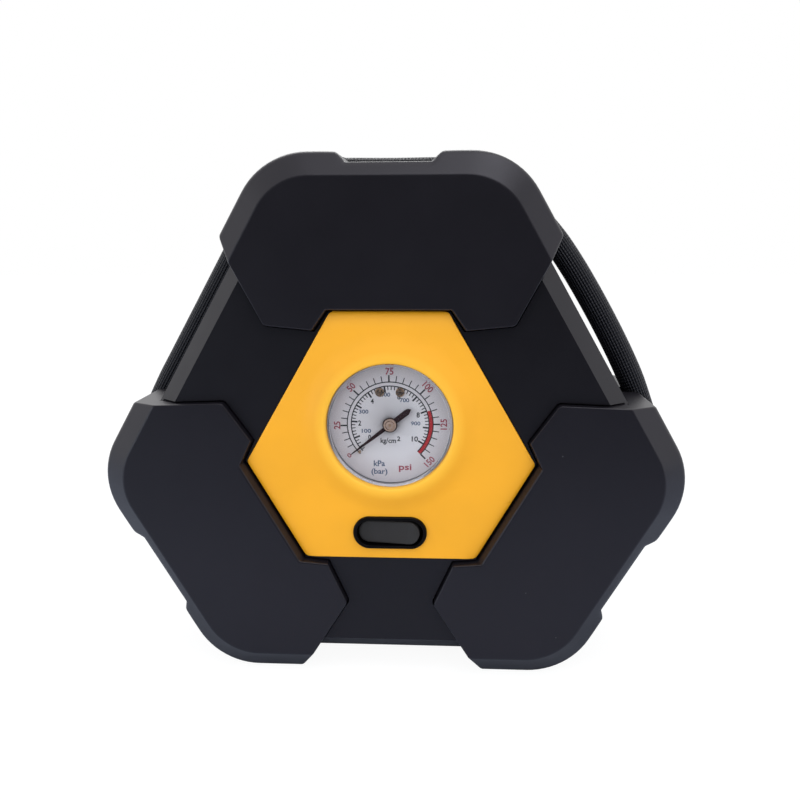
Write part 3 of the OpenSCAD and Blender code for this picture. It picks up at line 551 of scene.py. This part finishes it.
# Corners of the top bumper's right half from the panel bay outwards, then of the bay.
BUMPER_HALF = [[26.59, 42.2], [43.9, 43.9], meet(30, BUMPER_SIDE, 120, 34.7),
               meet(30, BUMPER_SIDE, 90, BUMPER_TIP)]
BUMPER_CORNERS = np.array(
    BUMPER_HALF + [[-x, z] for x, z in BUMPER_HALF[::-1]] + [[-21.4, 49.7], [21.4, 49.7]])
NOTCH_X = np.array([24, 21, 19.6, 18.8, 18.3, 17.9, 17.4, 16.6, 15.8, 15.2, 14.8, 14.4, 13.8,
                    12, 8, 4, 0])
NOTCH_X = np.concatenate([NOTCH_X, -NOTCH_X[-2::-1]])
NOTCH_REACH = 22           # beyond it the tip edge is flat


def bumper_ring(y, inner, side, tip, corner_r, bay_end, bay_side=0.0, end_r=1.6):
    """One flat outline of a bumper at depth y, each edge moved in by its own distance.

    The tip edge dips into the finger notch: its height is the soft minimum of the flat
    edge and of the notch's floor and slanted flanks. Where an inner edge crosses the wall
    of the case it gets two points close together, and the skirt starts between them.
    """
    insets = [inner, 0.7 * inner, side, tip, side, 0.7 * inner, inner, bay_side, bay_end,
              bay_side]
    arcs = rounded(shifted(BUMPER_CORNERS, insets),
                   np.array([0.7, 2.2, end_r, corner_r, corner_r, end_r, 2.2, 0.7, 0.9, 0.9]))
    top, softness = BUMPER_TIP - tip, 0.5
    cut = NOTCH_FLOOR + np.maximum(np.abs(NOTCH_X) - NOTCH_HALF, 0) * NOTCH_SLOPE
    dip = (top + cut - np.sqrt((top - cut) ** 2 + softness)) / 2
    tip_edge = np.stack([NOTCH_X, np.where(np.abs(NOTCH_X) > NOTCH_REACH, top, dip)], axis=1)
    wall = np.array([math.cos(math.radians(30)), math.sin(math.radians(30))])
    start, run = arcs[1, -1], arcs[2, 0] - arcs[1, -1]
    crossing = start + run * min((CASE_SIDE - start @ wall) / (run @ wall), 0.995)
    pair = np.stack([crossing, crossing + unit(run) * 0.01])
    mirror = np.array([-1.0, 1.0])
    outline = np.concatenate([
        arcs[0], arcs[1], pair, arcs[2], arcs[3], tip_edge, arcs[4], arcs[5],
        pair[::-1] * mirror, arcs[6], arcs[7], arcs[8], arcs[9]])
    return np.stack([outline[:, 0], np.full(len(outline), float(y)), outline[:, 1]], axis=1)


def bumper_rings(bay_front, bay_deep):
    """Rings of a front bumper at the top, from its face back to its seat.

    The end of its panel bay lies bay_front further out at the face and bay_deep behind it.
    With depth the outer edge first rounds off the face, runs down the bevel, and rounds
    into the straight wall; the inner edges only round off. Then the skirt outside the case
    goes down to the flange and comes up again along the case wall.
    """
    depth = np.array([0, 0.01, 0.04, 0.09, 0.16, 0.25, 0.34, 0.48, 0.7, 1.0, 1.6, 2.3, 3.0, 4.0,
                      5.0, 5.7, 6.1, 6.4, 6.8, 7.2, 7.7, 8.2, 8.41])
    edge_r, foot_r, inner_r = 1.5, 3.0, 0.6
    face_inset, bevel_from, foot_from = 9.04, 0.34, 6.1
    side_lip, corner_loss = 0.4, 5.0
    painted_lens_light = face_inset - np.sqrt(np.maximum(edge_r ** 2 - (edge_r - depth) ** 2, 0))
    slope = BEVEL_W * (1 - depth / BEVEL_D)
    foot = foot_r - np.sqrt(
        np.maximum(foot_r ** 2 - np.maximum(depth[-1] - depth, 0) ** 2, 0))
    outer = np.where(depth < bevel_from, painted_lens_light, np.where(depth < foot_from, slope, foot))
    inner = inner_r - np.sqrt(np.maximum(inner_r ** 2 - np.maximum(inner_r - depth, 0) ** 2, 0))
    lip = np.maximum(1 - depth / BAY_STEP, 0)
    bay_end = bay_front * lip + bay_deep * (1 - lip) + inner
    bay_side = side_lip * lip + inner
    corner_r = BUMPER_CORNER_R - corner_loss * outer / BEVEL_W
    rings = [bumper_ring(FRONT_Y + d, i, o, o, r, e, s)
             for d, i, o, r, e, s in zip(depth, inner, outer, corner_r, bay_end, bay_side)]
    seat = bumper_ring(SEAT_Y, 0, 0, 0, BUMPER_CORNER_R, bay_deep)
    wall = bumper_ring(SEAT_Y, 0, BUMPER_SIDE - CASE_SIDE, BUMPER_TIP - CASE_TIP, CASE_CORNER_R,
                       bay_deep, end_r=0.02)
    arc_points = 13     # what rounded() gives for one corner
    skirt = np.zeros(len(seat), bool)
    skirt[2 * arc_points + 1:-4 * arc_points - 1] = True
    drop = seat.copy()
    drop[skirt, 1] = FLANGE_Y
    inside = seat.copy()
    inside[skirt] = wall[skirt]
    foot_ring = inside.copy()
    foot_ring[skirt, 1] = FLANGE_Y
    return np.array(rings + [seat, drop, foot_ring, inside])


def around_axis(points, turn, rear):
    """Turns points about the case axis, and mirrors them to the rear half."""
    a = math.radians(turn)
    x, y, z = points[..., 0], points[..., 1], points[..., 2]
    return np.stack([x * math.cos(a) + z * math.sin(a), -y if rear else y,
                     z * math.cos(a) - x * math.sin(a) + AXIS_H], axis=-1)


def cut_away(piece, solids):
    """Cuts closed solids, each given as rings of points, out of a piece."""
    for rings in solids:
        points, faces = stacked(rings)
        cutter = bpy.data.meshes.new("cutter")
        cutter.from_pydata((points * MM).tolist(), [], faces)
        outward(cutter)
        tool = in_scene("cutter", cutter)
        cut = piece.modifiers.new("cut", "BOOLEAN")
        cut.operation = "DIFFERENCE"
        cut.solver = "EXACT"
        cut.object = tool
        piece.modifiers.move(len(piece.modifiers) - 1, 0)
        bpy.context.view_layer.update()
        with bpy.context.temp_override(object=piece, active_object=piece,
                                       selected_objects=[piece]):
            bpy.ops.object.modifier_apply(modifier=cut.name)
        bpy.data.objects.remove(tool)
        bpy.data.meshes.remove(cutter)


SCREWS = np.array([[33.0, 0, 72.0], [-33.0, 0, 72.0]])
SCREW_WELL = [[3.6, 29], [3.6, 41]]     # radius and depth at its floor and past its mouth

for half in ("front", "rear"):
    for spot, turn, bay in (("top", 0, (-0.2, -0.4)), ("right", 120, (1.4, 0)),
                            ("left", 240, (1.4, 0))):
        rings = around_axis(bumper_rings(*bay), turn, half == "rear")
        bumper = merged(new_piece(f"{half}_bumper_{spot}_skin", *stacked(rings),
                                  "bumper_plastic", sharp=28, weighted=True), 1e-8)
        if half == "rear":
            cut_away(bumper, [turned_rings(SCREW_WELL, (x, z - AXIS_H), 48)
                              for x, _, z in around_axis(SCREWS, turn, True)])
        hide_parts(f"{half}_bumper_{spot}")


# ---------- front panel ----------

def along_outline(outline, spacing):
    """Cuts each straight run of a closed outline into equal steps no longer than spacing."""
    ends = np.roll(outline, -1, axis=0)
    counts = np.maximum(np.ceil(np.linalg.norm(ends - outline, axis=1) / spacing), 1).astype(int)
    start = np.repeat(outline, counts, axis=0)
    stop = np.repeat(ends, counts, axis=0)
    index = np.arange(counts.sum()) - np.repeat(np.cumsum(counts) - counts, counts)
    share = (index / np.repeat(counts, counts))[:, None]
    return start + (stop - start) * share


def panel_height(x, z):
    """Front face of the panel: flat, a soft collar round the gauge, soft short edges.

    The collar follows a curve of height over radius. Each short edge falls as a quarter
    ellipse, and every edge is broken by a fine round.
    """
    away = [0, 0.12, 0.35, 0.7, 1.2, 1.8, 2.6, 3.6, 5.0, 6.4, 7.8, 9.0, 10.2, 12.0]
    rise = [1.05, 1.42, 1.66, 1.8, 1.88, 1.9, 1.84, 1.62, 1.18, 0.7, 0.33, 0.12, 0.03, 0]
    collar = np.interp(np.hypot(x, z - GAUGE_UP) - GAUGE_R, away, rise)
    fall = np.zeros_like(x)
    for k in range(6):
        angle = math.radians(30 + 60 * k)
        reach, width, drop = (PANEL_TIP, 7.0, 2.0) if k % 2 else (PANEL_SIDE, 0.35, 0.35)
        d = np.clip(reach - (x * math.cos(angle) + z * math.sin(angle)), 0, width)
        fall = np.maximum(fall, drop * (1 - np.sqrt(1 - ((width - d) / width) ** 2)))
    return PANEL_Y - collar + fall


def stadium(direction, w, h):
    """Where rays from the middle in the given directions meet a slot with round ends."""
    dx, dz = direction[:, 0], direction[:, 1]
    r, c = h / 2, (w - h) / 2
    reach = np.where(np.abs(dz) > 1e-9, r / np.maximum(np.abs(dz), 1e-9), 1e9)
    flat = np.abs(dx * reach) <= c
    ax = np.abs(dx)
    end = ax * c + np.sqrt(np.maximum((ax * c) ** 2 + r * r - c * c, 0))
    return direction * np.where(flat, reach, end)[:, None]


def panel_patch(outline, hole, centre):
    """Rings of one part of the panel, from a hole round centre out to its outline.

    A ray runs from each point of the hole to its point of the outline. Along it the points
    crowd towards both ends. The front takes panel_height, the back is flat. A ray under
    full_ray long has its first and last steps shortened.
    """
    full_ray = 22
    near = np.array([0, 0.1, 0.3, 0.6, 1.1, 1.8, 2.8, 4.2, 6, 8, 10.2, 12.6])
    far = np.array([5.4, 4.4, 3.5, 2.7, 1.9, 1.3, 0.8, 0.45, 0.22, 0.08, 0])
    inner = hole(unit(outline - centre)) + centre
    span = outline - inner
    length = np.linalg.norm(span, axis=1)
    scale = np.minimum(1, length / full_ray)
    a = near[:, None] * scale
    c = length - far[:, None] * scale
    mix = np.linspace(0, 1, 14)[1:-1, None]
    b = a[-1] + (c[0] - a[-1]) * mix
    share = np.concatenate([a, b, c]) / length
    flat = inner + span * share[..., None]
    front = np.stack([flat[..., 0], panel_height(flat[..., 0], flat[..., 1]),
                      flat[..., 1] + AXIS_H], axis=-1)
    back = front[[0, -1]].copy()
    back[..., 1] = PANEL_BACK_Y
    return np.concatenate([back[:1], front, back[1:]])


def from_gap(run):
    """Turns the order of a run of points so that it starts after its widest gap."""
    gaps = np.linalg.norm(np.roll(run, 1, axis=0) - run, axis=1)
    return np.roll(run, -int(np.argmax(gaps)), axis=0)


def front_panel():
    """The panel in two patches that share a level line between gauge and switch.

    The line lies at the height split. Its ends are where straight lines between the last
    point above it and the first below it cross that height.
    """
    split, clear, corner_r, spacing = -20.5, 0.3, 2.6, 1.6
    corners = six_corners(PANEL_SIDE, PANEL_TIP)
    outline = along_outline(rounded(corners, np.full(6, corner_r), 8).reshape(-1, 2), spacing)
    above = from_gap(outline[outline[:, 1] > split + clear])
    below = from_gap(outline[outline[:, 1] < split - clear])

    def crossing(p, q):
        return p + (q - p) * (split - p[1]) / (q[1] - p[1])

    left = crossing(above[-1], below[0])
    right = crossing(below[-1], above[0])
    share = np.linspace(0, 1, 46)[:, None]
    level = left + (right - left) * share
    upper = np.concatenate([above, level])
    lower = np.concatenate([below, level[::-1]])
    points, faces, first = [], [], 0
    for edge, hole, centre, own in (
            (upper, lambda d: d * GAUGE_R, np.array([0, GAUGE_UP]), len(above)),
            (lower, lambda d: stadium(d, *SWITCH_HOLE), np.array([0, SWITCH_UP]),
             len(below))):
        rings = panel_patch(edge, hole, centre)
        rows, columns = rings.shape[:2]
        quads = np.array(grid_faces(rows, columns)).reshape(rows - 1, columns, 4)
        faces += (quads[:-1].reshape(-1, 4) + first).tolist()
        wall = np.ones(columns, bool)
        wall[own:columns - 1] = False
        faces += (quads[-1][wall] + first).tolist()
        i = np.arange(columns)
        k = (i + 1) % columns
        back = np.stack([(rows - 1) * columns + i, (rows - 1) * columns + k, k, i], axis=1)
        faces += (back + first).tolist()
        points.append(rings.reshape(-1, 3))
        first += rows * columns
    panel = merged(new_piece("front_panel_skin", np.concatenate(points), faces,
                             "panel_plastic", sharp=40), 2e-6)
    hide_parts("front_panel")


front_panel()


# ---------- gauge ----------

CENTRE = (0, GAUGE_UP)
dial = turned_piece("dial_face", [
    [1.2, DIAL_Y], [21.7, DIAL_Y], [21.8, DIAL_Y + 0.1], [21.8, DIAL_Y + 0.5],
    [1.2, DIAL_Y + 0.5]], CENTRE, "dial_paint", 160)
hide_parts("gauge_dial")

lens = turned_piece("lens_disc", [
    [0, -36.6], [14, -36.6], [21.45, -36.6], [21.6, -36.42], [21.75, -36.6], [22.0, -36.6],
    [22.35, -36.52], [22.55, -36.34], [22.6, -36.0], [22.6, -35.6], [22.52, -35.44],
    [22.35, -35.4], [0, -35.4]], CENTRE, "lens_plastic", 160)
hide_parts("gauge_lens")
rim = turned_piece("lens_rim", [
    [22.6, -35.4], [22.6, -34.1], [22.5, -34.0], [22.3, -34.0], [22.25, -34.1],
    [22.25, -34.6], [22.32, -34.7], [22.32, -35.4]], CENTRE, "lens_edge", 160)

hub = turned_piece("needle_hub_cap", [
    [0, -34.25], [0.42, -34.25], [0.5, -34.5], [0.62, -34.58], [0.8, -34.6], [1.3, -34.6],
    [1.42, -34.56], [1.5, -34.42], [1.66, -34.42], [1.74, -34.58], [1.86, -34.64],
    [2.08, -34.62], [2.22, -34.54], [2.32, -34.4], [2.34, -34.15], [0, -34.15]], CENTRE,
    "hub_brass", 64, "needle", sharp=25)


def dial_screw(side, x, slot_turn):
    """Domed screw head above the gauge's middle, with a slot cut across it."""
    up, slot_w, slot_floor = GAUGE_UP + 11.8, 0.56, -32.9
    screw = turned_piece(f"dial_screw_head_{side}", [
        [0, -33.32], [0.6, -33.3], [1.1, -33.22], [1.45, -33.08], [1.6, -32.9], [1.6, -32.65],
        [0, -32.65]], (x, up), "dull_brass", 48)
    a = math.radians(slot_turn)
    along = np.array([math.cos(a), 0, math.sin(a)]) * 2
    across = np.array([-math.sin(a), 0, math.cos(a)]) * slot_w / 2
    corners = np.array([x, 0, up + AXIS_H]) + np.array(
        [along + across, across - along, -along - across, along - across])
    cut_away(screw, [np.stack([corners + [0, y, 0] for y in (-34, slot_floor)])])


dial_screw("left", -3.66, 78)
dial_screw("right", 3.66, 14)


def polar(radius, degrees):
    """Point at a radius and an angle from +X."""
    a = np.radians(degrees)
    return np.stack([radius * np.cos(a), radius * np.sin(a)], axis=-1)


def inked(shapes):
    """Raised ink: each flat shape, an array of four corners, gets front, back and sides."""
    flat = np.asarray(shapes, float)
    front = np.stack([flat[..., 0], np.full(flat.shape[:2], DIAL_Y - INK), flat[..., 1]], -1)
    back = front.copy()
    back[..., 1] = DIAL_Y + INK_ROOT
    points = np.concatenate([front, back], axis=1)
    block = np.array([[0, 1, 2, 3], [7, 6, 5, 4], [0, 4, 5, 1], [1, 5, 6, 2], [2, 6, 7, 3],
                      [3, 7, 4, 0]])
    faces = (np.arange(len(flat))[:, None, None] * 8 + block).reshape(-1, 4)
    return points.reshape(-1, 3), faces


def ticks(angles, r0, r1, width):
    """Straight marks between two radii at the given angles, as four-cornered pieces."""
    a = np.radians(np.atleast_1d(angles))
    out = np.stack([np.cos(a), np.sin(a)], -1)
    side = np.stack([-np.sin(a), np.cos(a)], -1) * width / 2
    return np.stack([out * r0 - side, out * r1 - side, out * r1 + side, out * r0 + side], 1)


def arc(start, end, r0, r1, steps):
    """Curved band between two radii and two angles, as a row of four-cornered pieces."""
    a = np.linspace(start, end, steps + 1)
    return np.stack([polar(r0, a[:-1]), polar(r1, a[:-1]), polar(r1, a[1:]), polar(r0, a[1:])],
                    axis=1)


def lettering(body, x, z, height, width, turn=0.0):
    """Points and faces of one word, scaled to its height and width and turned in place."""
    curve = bpy.data.curves.new("word", "FONT")
    curve.body = body
    curve.resolution_u = 3
    curve.extrude = 0.02
    curve.offset = 0.022
    word = in_scene("word", curve)
    bpy.context.view_layer.update()
    shape = word.evaluated_get(bpy.context.evaluated_depsgraph_get())
    mesh = bpy.data.meshes.new_from_object(shape)
    points = np.empty(len(mesh.vertices) * 3)
    mesh.vertices.foreach_get("co", points)
    points = points.reshape(-1, 3)
    faces = [list(face.vertices) for face in mesh.polygons]
    bpy.data.objects.remove(word)
    bpy.data.curves.remove(curve)
    bpy.data.meshes.remove(mesh)
    low, high = points.min(axis=0), points.max(axis=0)
    flat = (points[:, :2] - (low[:2] + high[:2]) / 2) / (high[:2] - low[:2]) * (width, height)
    a = math.radians(turn)
    across = x + flat[:, 0] * math.cos(a) - flat[:, 1] * math.sin(a)
    up = z + flat[:, 0] * math.sin(a) + flat[:, 1] * math.cos(a)
    deep = np.where(points[:, 2] > 0, DIAL_Y - INK, DIAL_Y + INK_ROOT)
    return np.stack([across, deep, up], axis=1), faces


def print_piece(name, parts, material):
    """Joins marks and words into one printed piece on the dial."""
    points, faces, first = [], [], 0
    for part_points, part_faces in parts:
        points.append(part_points)
        faces += [[int(v) + first for v in face] for face in part_faces]
        first += len(part_points)
    points = np.concatenate(points)
    points[:, 2] += AXIS_H + GAUGE_UP
    piece = new_piece(name, points, faces, material, sharp=20)
    outward(piece.data)


def outer_angle(value):
    """Where a value in psi stands on the outer scale."""
    return 227.4 - 1.816 * value


def inner_angle(value):
    """Where a value in kg/cm2 stands on the inner scale."""
    return 227.6 - 25.85 * value


RED_START, RED_END = 20.0, -45.5
psi = np.arange(5, 155, 5)
unit_marks = np.arange(1, 11)
fine_marks = np.arange(1, 50) / 5
fine_marks = fine_marks[np.abs(fine_marks - np.round(fine_marks)) > 0.05]
black = [
    inked(arc(outer_angle(1), RED_END, 15.3, 15.68, 130)),
    inked(arc(inner_angle(0.1), RED_END, 13.84, 14.22, 130)),
    inked(ticks(outer_angle(psi[psi % 25 > 0]), 15.5, 17.8, 0.33)),
    inked(ticks(outer_angle(psi[psi % 25 == 0]), 15.5, 18.0, 0.56)),
    inked(ticks(inner_angle(unit_marks), 11.8, 14.1, 0.6)),
    inked(ticks(inner_angle(fine_marks), 12.6, 14.1, 0.34)),
]
for figure, radius, angle, height, width in (
        ("2", 11.0, 178, 1.95, 1.15), ("4", 10.6, 127, 1.95, 1.15),
        ("8", 10.7, 19.3, 1.95, 1.15), ("6", 10.6, 72.5, 1.95, 1.15),
        ("10", 10.4, 329, 1.95, 2.3), ("0", 8.9, 213, 1.75, 1.05)):
    black.append(lettering(figure, *polar(radius, angle), height, width))
black.append(lettering("kg/cm", -0.7, -6.3, 2.5, 5.6))
black.append(lettering("2", 3.1, -5.3, 1.7, 1.15))
print_piece("dial_black_marks", black, "dial_black")

red = []
for figure, radius, angle, height, width, turn in (
        ("0", 19.0, 218.2, 1.7, 1.4, 40), ("25", 19.2, 181.6, 2.4, 2.9, 90),
        ("50", 19.4, 135.8, 2.4, 2.9, 47), ("75", 19.3, 90.4, 2.4, 2.9, 0),
        ("100", 19.3, 45.2, 2.4, 3.9, -46), ("125", 19.3, 0.5, 2.4, 3.9, 90),
        ("150", 19.8, 316, 2.4, 3.9, 46)):
    red.append(lettering(figure, *polar(radius, angle), height, width, turn))
red.append(lettering("psi", 5.4, -16.3, 3.0, 4.6))
print_piece("dial_red_numerals", red, "dial_numeral_red")
print_piece("dial_red_band", [inked(arc(RED_START, RED_END, 14.22, 15.3, 40))], "dial_red")
blue = [lettering("kPa", -4.0, -14.6, 2.2, 4.1), lettering("(bar)", -4.0, -17.9, 2.7, 5.9)]
for figure, x, z in (("100", -8.6, -2.5), ("300", -9.5, 4.6), ("500", -1.6, 10.9),
                     ("700", 5.2, 8.9), ("900", 9.2, 0.4)):
    blue.append(lettering(figure, x, z, 1.5, 3.4))
print_piece("dial_blue_words", blue, "dial_blue")


# ---------- switch ----------

def slot_ring(w, h, y):
    """Points round a slot with round ends: two half circles joined by straight runs."""
    count = 72
    a = np.arange(count) / count * TURN
    x = np.sign(np.cos(a)) * (w - h) / 2 + h / 2 * np.cos(a)
    return np.stack([x, np.full(len(a), float(y)), h / 2 * np.sin(a)], axis=1)


def switch_bezel():
    """Housing: lip, flat rim, round inner edge and well, and the body behind the panel."""
    profile = [(23.9, 9.4, -26), (24.1, 9.6, -37.6), (24.25, 9.75, -37.95), (24.5, 10.0, -38.2),
               (24.8, 10.3, -38.3), (26.0, 11.2, -38.3), (26.6, 11.7, -38.2), (27.0, 12.1, -37.9),
               (27.2, 12.3, -37.5), (27.2, 12.3, -37.0), (25.4, 11.3, -37.0),
               (25.4, 11.3, -16.4), (25.0, 10.9, -16)]
    rings = np.array([slot_ring(w, h, y) for w, h, y in profile])
    rings[..., 2] += AXIS_H + SWITCH_UP
    bezel = merged(new_piece("switch_bezel", *stacked(rings), "switch_plastic", sharp=50,
                             weighted=True))
    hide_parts("switch_housing")


def rocker_cap():
    """Rocker: a slot-shaped block whose top is hollowed by a wide arc, edges rounded.

    Rings shrink from the outline to the middle line; the top lies on the deeper of a flat
    and a cylinder of radius hollow_r, less a quarter round at the edge. Then the block
    leans to its place at rest about its pivot.
    """
    length, height, edge_r = 22.8, 8.8, 0.6
    flat_y, hollow_y, hollow_r, lean, pivot = -4.1, -3.3, 60.0, -7.0, 3.6
    shrink = np.array([0, 0.03, 0.1, 0.22, 0.4, 0.62, 0.9, 1.3, 1.9, 2.6, 3.4, 4.1, 4.38])
    edge = edge_r - np.sqrt(np.maximum(edge_r ** 2 - np.maximum(edge_r - shrink, 0) ** 2, 0))
    rings = []
    for s, e in zip(shrink, edge):
        ring = slot_ring(length - 2 * s, height - 2 * s, 0)
        hollow = hollow_y - hollow_r + np.sqrt(hollow_r ** 2 - ring[:, 0] ** 2)
        ring[:, 1] = np.maximum(flat_y, hollow) + e
        rings.append(ring)
    rings = np.array(rings[::-1] + [slot_ring(length, height, 2.4), slot_ring(22, 8, 3)])
    a = math.radians(lean)
    x, y = rings[..., 0].copy(), rings[..., 1].copy()
    rings[..., 0] = x * math.cos(a) - y * math.sin(a)
    rings[..., 1] = x * math.sin(a) + y * math.cos(a) + PANEL_Y + pivot
    rings[..., 2] += AXIS_H + SWITCH_UP
    cap = merged(new_piece("rocker_cap", *stacked(rings), "rocker_plastic", "rocker", sharp=50))
    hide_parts("switch_rocker")


switch_bezel()
rocker_cap()


# ---------- small parts ----------

for node, material, body, width in (
        ("chuck_body", "brass", "case", 0.4), ("hose_ferrule", "steel", "case", 0.35),
        ("hose_outlet", "brass", "case", 0.4), ("chuck_clip", "case_plastic", "case", 0.4),
        ("chuck_lever", "black_nylon", "lever", 0.5), ("cord_gland", "rubber", "case", 0.3),
        ("rear_grille", "case_plastic", "case", 0.4), ("case_screws", "steel", "case", 0.15)):
    softened(node, material, body, width)


# ---------- hose ----------

HOSE_ROUTE = np.array([
    [37, -82.5], [41, -82.5], [47.5, -82.5], [56, -82.6], [63.6, -81.8], [69, -77.2],
    [73.5, -71.1], [76.5, -66], [87.3, -47], [98.3, -28], [102.3, -17], [102.3, -5.5],
    [98.5, 6], [89.5, 26], [79, 45.5], [67.3, 64.5], [54.5, 82], [46.7, 91.3], [36.4, 97.2],
    [25, 99.3], [0, 99.3], [-25, 99.3], [-36.4, 97.2], [-46.7, 91.3], [-54.2, 82],
    [-65, 63.3], [-76, 44.2], [-87, 25.2], [-98.3, 5.7], [-102.3, -5.5], [-102.3, -17],
    [-98.3, -28], [-87.3, -47], [-76.5, -66], [-73.5, -71.1], [-69, -77.2], [-63.6, -81.8],
    [-56, -82.6], [-47.5, -82.5], [-40, -82.5], [-34, -82.5]])


def smooth(points, cuts):
    """Curve through points: each span is a cubic fixed by its four nearest points."""
    padded = np.vstack([points[:1], points, points[-1:]])
    p0, p1, p2, p3 = (padded[k:len(padded) - 3 + k, None] for k in range(4))
    t = (np.arange(cuts) / cuts)[None, :, None]
    curve = 0.5 * (2 * p1 + (p2 - p0) * t + (2 * p0 - 5 * p1 + 4 * p2 - p3) * t ** 2
                   + (3 * p1 - p0 - 3 * p2 + p3) * t ** 3)
    return np.vstack([curve.reshape(-1, points.shape[1]), points[-1:]])


def braided_hose():
    """Round tube along the route; its UV map is the turn round it and metres along it.

    The sleeve lies close to the tube inside the bumpers. Between them it stands off by up
    to sleeve_slack: free is a soft step of the height, up over the first span of heights
    and down over the second.
    """
    sides, sleeve_slack = 28, 0.8
    (up_from, up_to), (down_from, down_to) = (4, 22), (70, 84)
    line = smooth(HOSE_ROUTE, 8)
    centre = np.stack([line[:, 0], np.zeros(len(line)), line[:, 1] + AXIS_H], axis=1)
    ahead = np.gradient(centre, axis=0)
    ahead /= np.linalg.norm(ahead, axis=1, keepdims=True)
    side = np.tile([0.0, 1.0, 0.0], (len(centre), 1))
    up = np.cross(side, ahead)
    a = np.arange(sides + 1) / sides * TURN
    height = line[:, 1]
    free = (np.clip((height - up_from) / (up_to - up_from), 0, 1)
            * np.clip((down_to - height) / (down_to - down_from), 0, 1))
    radius = (HOSE_D / 2 + sleeve_slack * free * free * (3 - 2 * free))[:, None, None]
    ring = (centre[:, None] + radius * (np.cos(a)[:, None] * up[:, None]
                                        + np.sin(a)[:, None] * side[:, None]))
    run = np.concatenate([[0], np.cumsum(np.linalg.norm(np.diff(centre, axis=0), axis=1))])
    rows = len(ring)
    hose = new_piece("braided_hose", *stacked(ring[:, :-1]), "hose_braid", sharp=60)
    uv = hose.data.uv_layers.new(name="along_hose")
    i, j = np.meshgrid(np.arange(rows - 1), np.arange(sides), indexing="ij")
    corner_u = np.stack([j, j + 1, j + 1, j], axis=-1) / sides
    corner_v = np.stack([run[i], run[i], run[i + 1], run[i + 1]], axis=-1) * MM
    flat = np.zeros((len(hose.data.loops), 2))
    flat[:corner_u.size] = np.stack([corner_u.ravel(), corner_v.ravel()], axis=1)
    uv.data.foreach_set("uv", flat.ravel())
    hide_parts("air_hose")


braided_hose()


# ---------- studio ----------

def background_share(nodes, behind):
    """Share of the white background, and which rays see it by gloss or through glass.

    The camera sees white everywhere. Gloss and glass show white where they look towards
    the back and the dark of the studio where they look out to the front.
    """
    path = nodes.node("ShaderNodeLightPath").outputs
    bent = nodes.math("MAXIMUM", path["Is Glossy Ray"], path["Is Transmission Ray"])
    bent = nodes.math("GREATER_THAN", bent, path["Diffuse Depth"])
    white = nodes.math("MAXIMUM", nodes.math("MULTIPLY", bent, behind), path["Is Camera Ray"])
    return white, bent


def sheet_of_floor():
    """Wide pale floor under the object, as white as the background around it."""
    half = 3.0
    mesh = bpy.data.meshes.new("floor")
    mesh.from_pydata([(-half, -half, 0), (half, -half, 0), (half, half, 0), (-half, half, 0)],
                     [], [(0, 1, 2, 3)])
    material = bpy.data.materials.new("floor")
    material.use_nodes = True
    nodes = Nodes(material.node_tree)
    back = nodes.axes("Object")["Y"]
    white, bent = background_share(nodes, nodes.ramp(back, 0.0, 0.35))
    mirrored = nodes.blend(nodes.ramp(back, -0.55, -0.1), (0.06, 0.065, 0.08),
                           (0.60, 0.65, 0.75))
    shader = nodes.tree.nodes["Principled BSDF"]
    nodes.feed(shader.inputs["Base Color"], nodes.blend(bent, (0.7, 0.7, 0.7), mirrored))
    nodes.feed(shader.inputs["Roughness"], 0.9)
    nodes.feed(shader.inputs["Specular IOR Level"], 0.0)
    glow = nodes.node("ShaderNodeEmission")
    glow.inputs["Strength"].default_value = 1.16
    nodes.show(nodes.math("MULTIPLY", white, 0.8), shader.outputs[0], glow.outputs[0])
    mesh.materials.append(material)
    floor = in_scene("floor", mesh)


def studio_world():
    """White background for the camera, glass and gloss, and a pale room for the rest.

    The room is brightest in front of the object, and dim in gloss and glass.
    """
    world = bpy.data.worlds.new("studio")
    bpy.context.scene.world = world
    world.use_nodes = True
    nodes = Nodes(world.node_tree)
    back = nodes.axes("Generated")["Y"]
    share, bent = background_share(nodes, nodes.ramp(back, -0.75, 0.15))
    lit = nodes.spread(nodes.ramp(back, 0.1, -1.0), 0.42, 1.5, 0, 1)
    room = nodes.tree.nodes["Background"]
    nodes.feed(room.inputs["Strength"], nodes.spread(bent, lit, 0.06, 0, 1))
    nodes.feed(room.inputs["Color"], (0.92, 0.95, 1.0))
    white = nodes.node("ShaderNodeBackground")
    nodes.feed(white.inputs["Color"], (1, 1, 1))
    nodes.show(share, room.outputs[0], white.outputs[0])


def soft_lamp(name, place, target, width, height, watts, colour=(1, 1, 1)):
    """Rectangular lamp at a place in millimetres, turned towards another."""
    data = bpy.data.lights.new(name, "AREA")
    data.shape = "RECTANGLE"
    data.size, data.size_y = width * MM, height * MM
    data.energy = watts
    data.color = colour
    ahead = unit(np.array(target, float) - place)
    right = unit(np.cross(ahead, [0, 0, 1.0]))
    aim(in_scene(name, data), place, right, np.cross(right, ahead), ahead)


sheet_of_floor()
studio_world()
soft_lamp("key_above", (200, -280, 880), (0, -20, 120), 800, 480, 2.6, (0.94, 0.96, 1.0))
soft_lamp("left_side", (-640, -340, 160), (0, -20, 90), 300, 500, 0.9, (0.84, 0.93, 1.0))
soft_lamp("left_low", (-700, -700, 75), (-60, -40, 55), 400, 120, 0.45, (0.78, 0.92, 1.0))
soft_lamp("right_side", (640, -300, 220), (0, -20, 90), 300, 500, 0.5, (0.92, 0.95, 1.0))
soft_lamp("back_above", (-150, 620, 700), (0, 0, 90), 700, 400, 2.4)
bpy.context.scene.view_settings.view_transform = "Standard"
